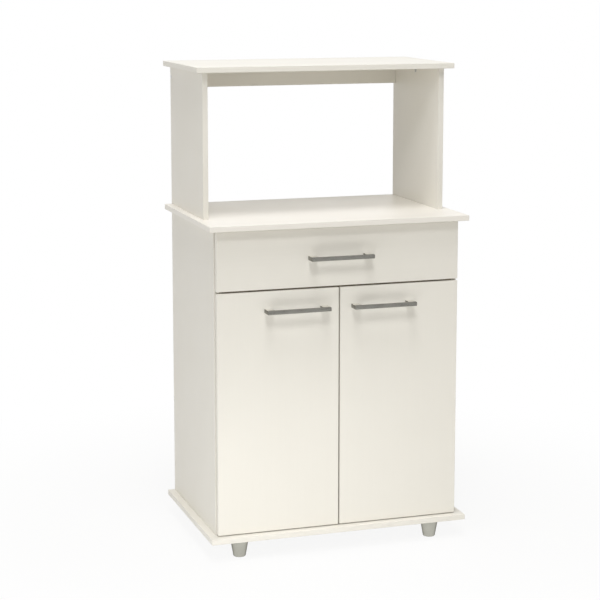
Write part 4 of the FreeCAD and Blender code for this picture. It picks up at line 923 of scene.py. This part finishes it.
# Radius of head and shank, whole length, height of a domed head, and thread pitch.
COUNTERSUNK = (4.2 * MM, 2.2 * MM, 40 * MM, 0, 2.6 * MM)
HANDLE_SCREW = (4.2 * MM, 2.2 * MM, 28.2 * MM, 2.2 * MM, 1.6 * MM)
FOOT_SCREW = (4.2 * MM, 2.2 * MM, 28.2 * MM, 2.2 * MM, 2.0 * MM)
SMALL_SCREW = (3.2 * MM, 1.6 * MM, 11.2 * MM, 1.2 * MM, 1.4 * MM)
SCREWS = {
    "panel_screws": COUNTERSUNK, "drawer_screws": COUNTERSUNK, "foot_screws": FOOT_SCREW,
    "drawer_handle_screws": HANDLE_SCREW, "left_handle_screws": HANDLE_SCREW,
    "right_handle_screws": HANDLE_SCREW, "hinge_plate_screws": SMALL_SCREW,
    "left_cup_screws": SMALL_SCREW, "right_cup_screws": SMALL_SCREW,
    "cabinet_runner_screws": SMALL_SCREW, "drawer_runner_screws": SMALL_SCREW,
}


def sink_cross(mesh, head, cap):
    """A disc with a cross sunk in it; returns its outer edges and its radius."""
    half = head * CROSS_SHARE
    bmesh.ops.create_grid(mesh, x_segments=GRID_CELLS, y_segments=GRID_CELLS, size=half)
    cell = 2 * half / GRID_CELLS
    reach = half - cell
    cross = [face for face in mesh.faces
             if min(abs(v) for v in face.calc_center_median()[:2]) < cell / 2
             and max(abs(v) for v in face.calc_center_median()[:2]) < reach]
    edge_loop = [edge for edge in mesh.edges if edge.is_boundary]
    rim_radius = head * DOME_RIM if cap else head
    for corner in mesh.verts:
        if corner.is_boundary:
            corner.co = corner.co.normalized() * rim_radius + Vector((0, 0, cap * RIM_RISE))
    sunk = new_items(bmesh.ops.extrude_face_region(mesh, geom=cross), bmesh.types.BMVert)
    bmesh.ops.delete(mesh, geom=[face for face in cross if face.is_valid], context="FACES")
    bmesh.ops.scale(mesh, vec=(RECESS_TAPER, RECESS_TAPER, 1), verts=sunk)
    bmesh.ops.translate(mesh, vec=(0, 0, max(cap, head / 2) * RECESS_DEPTH), verts=sunk)
    return edge_loop, rim_radius


def model_screw(head, shank, length, cap, pitch):
    """One screw with the middle of its face at the origin, pointing along +Z."""
    mesh = bmesh.new()
    edge_loop, rim_radius = sink_cross(mesh, head, cap)
    core = shank * CORE_SHARE
    if cap:
        steps = [(head, cap * SHOULDER_RISE), (head, cap), (core, cap)]
        neck = cap
    else:
        steps = [(core, head - core)]
        neck = head - core
    steps += [(core, length - shank), (TIP_RADIUS, length)]
    last_radius, last_level = rim_radius, cap * RIM_RISE
    for radius, level in steps:
        out = bmesh.ops.extrude_edge_only(mesh, edges=edge_loop)
        ring = new_items(out, bmesh.types.BMVert)
        edge_loop = new_items(out, bmesh.types.BMEdge)
        share = radius / last_radius
        bmesh.ops.scale(mesh, vec=(share, share, 1), verts=ring)
        bmesh.ops.translate(mesh, vec=(0, 0, level - last_level), verts=ring)
        last_radius, last_level = radius, level
    bmesh.ops.contextual_create(mesh, geom=edge_loop)
    cut_thread(mesh, core, shank, neck + pitch / 2, length - shank - pitch, pitch)
    return mesh


def cut_thread(mesh, core, shank, start, end, pitch):
    """A ridge of three edges spun up round the core as a closed helix."""
    turns = int((end - start) / pitch)
    sunk = core * THREAD_ROOT
    ridge = pitch * THREAD_SHARE
    outline = [(sunk, start), (shank, start + ridge / 2), (sunk, start + ridge)]
    corners = [mesh.verts.new((radius, 0, level)) for radius, level in outline]
    sides = [mesh.edges.new((corners[i], corners[(i + 1) % 3])) for i in range(3)]
    spun = bmesh.ops.spin(mesh, geom=corners + sides, cent=(0, 0, 0), axis=(0, 0, 1),
                          dvec=(0, 0, pitch / TURN_STEPS), angle=math.tau * turns,
                          steps=TURN_STEPS * turns)["geom_last"]
    bmesh.ops.contextual_create(mesh, geom=sides)
    last_sides = [item for item in spun if isinstance(item, bmesh.types.BMEdge)]
    bmesh.ops.contextual_create(mesh, geom=last_sides)


def model_screws(part, shape):
    """A detailed screw in the place of each simple one of a part."""
    group = bmesh.new()
    for points in read_solids(part):
        face, into = find_screw(points)
        turn = into.to_track_quat("Z", "Y").to_matrix().to_4x4()
        join_turned(group, model_screw(*shape), Matrix.Translation(face) @ turn)
    return finish_piece(group, f"{part}_crosshead", part, [zinc])


screws = [model_screws(part, shape) for part, shape in SCREWS.items()]
print("screws:", [(piece.name, len(piece.data.polygons)) for piece in screws])
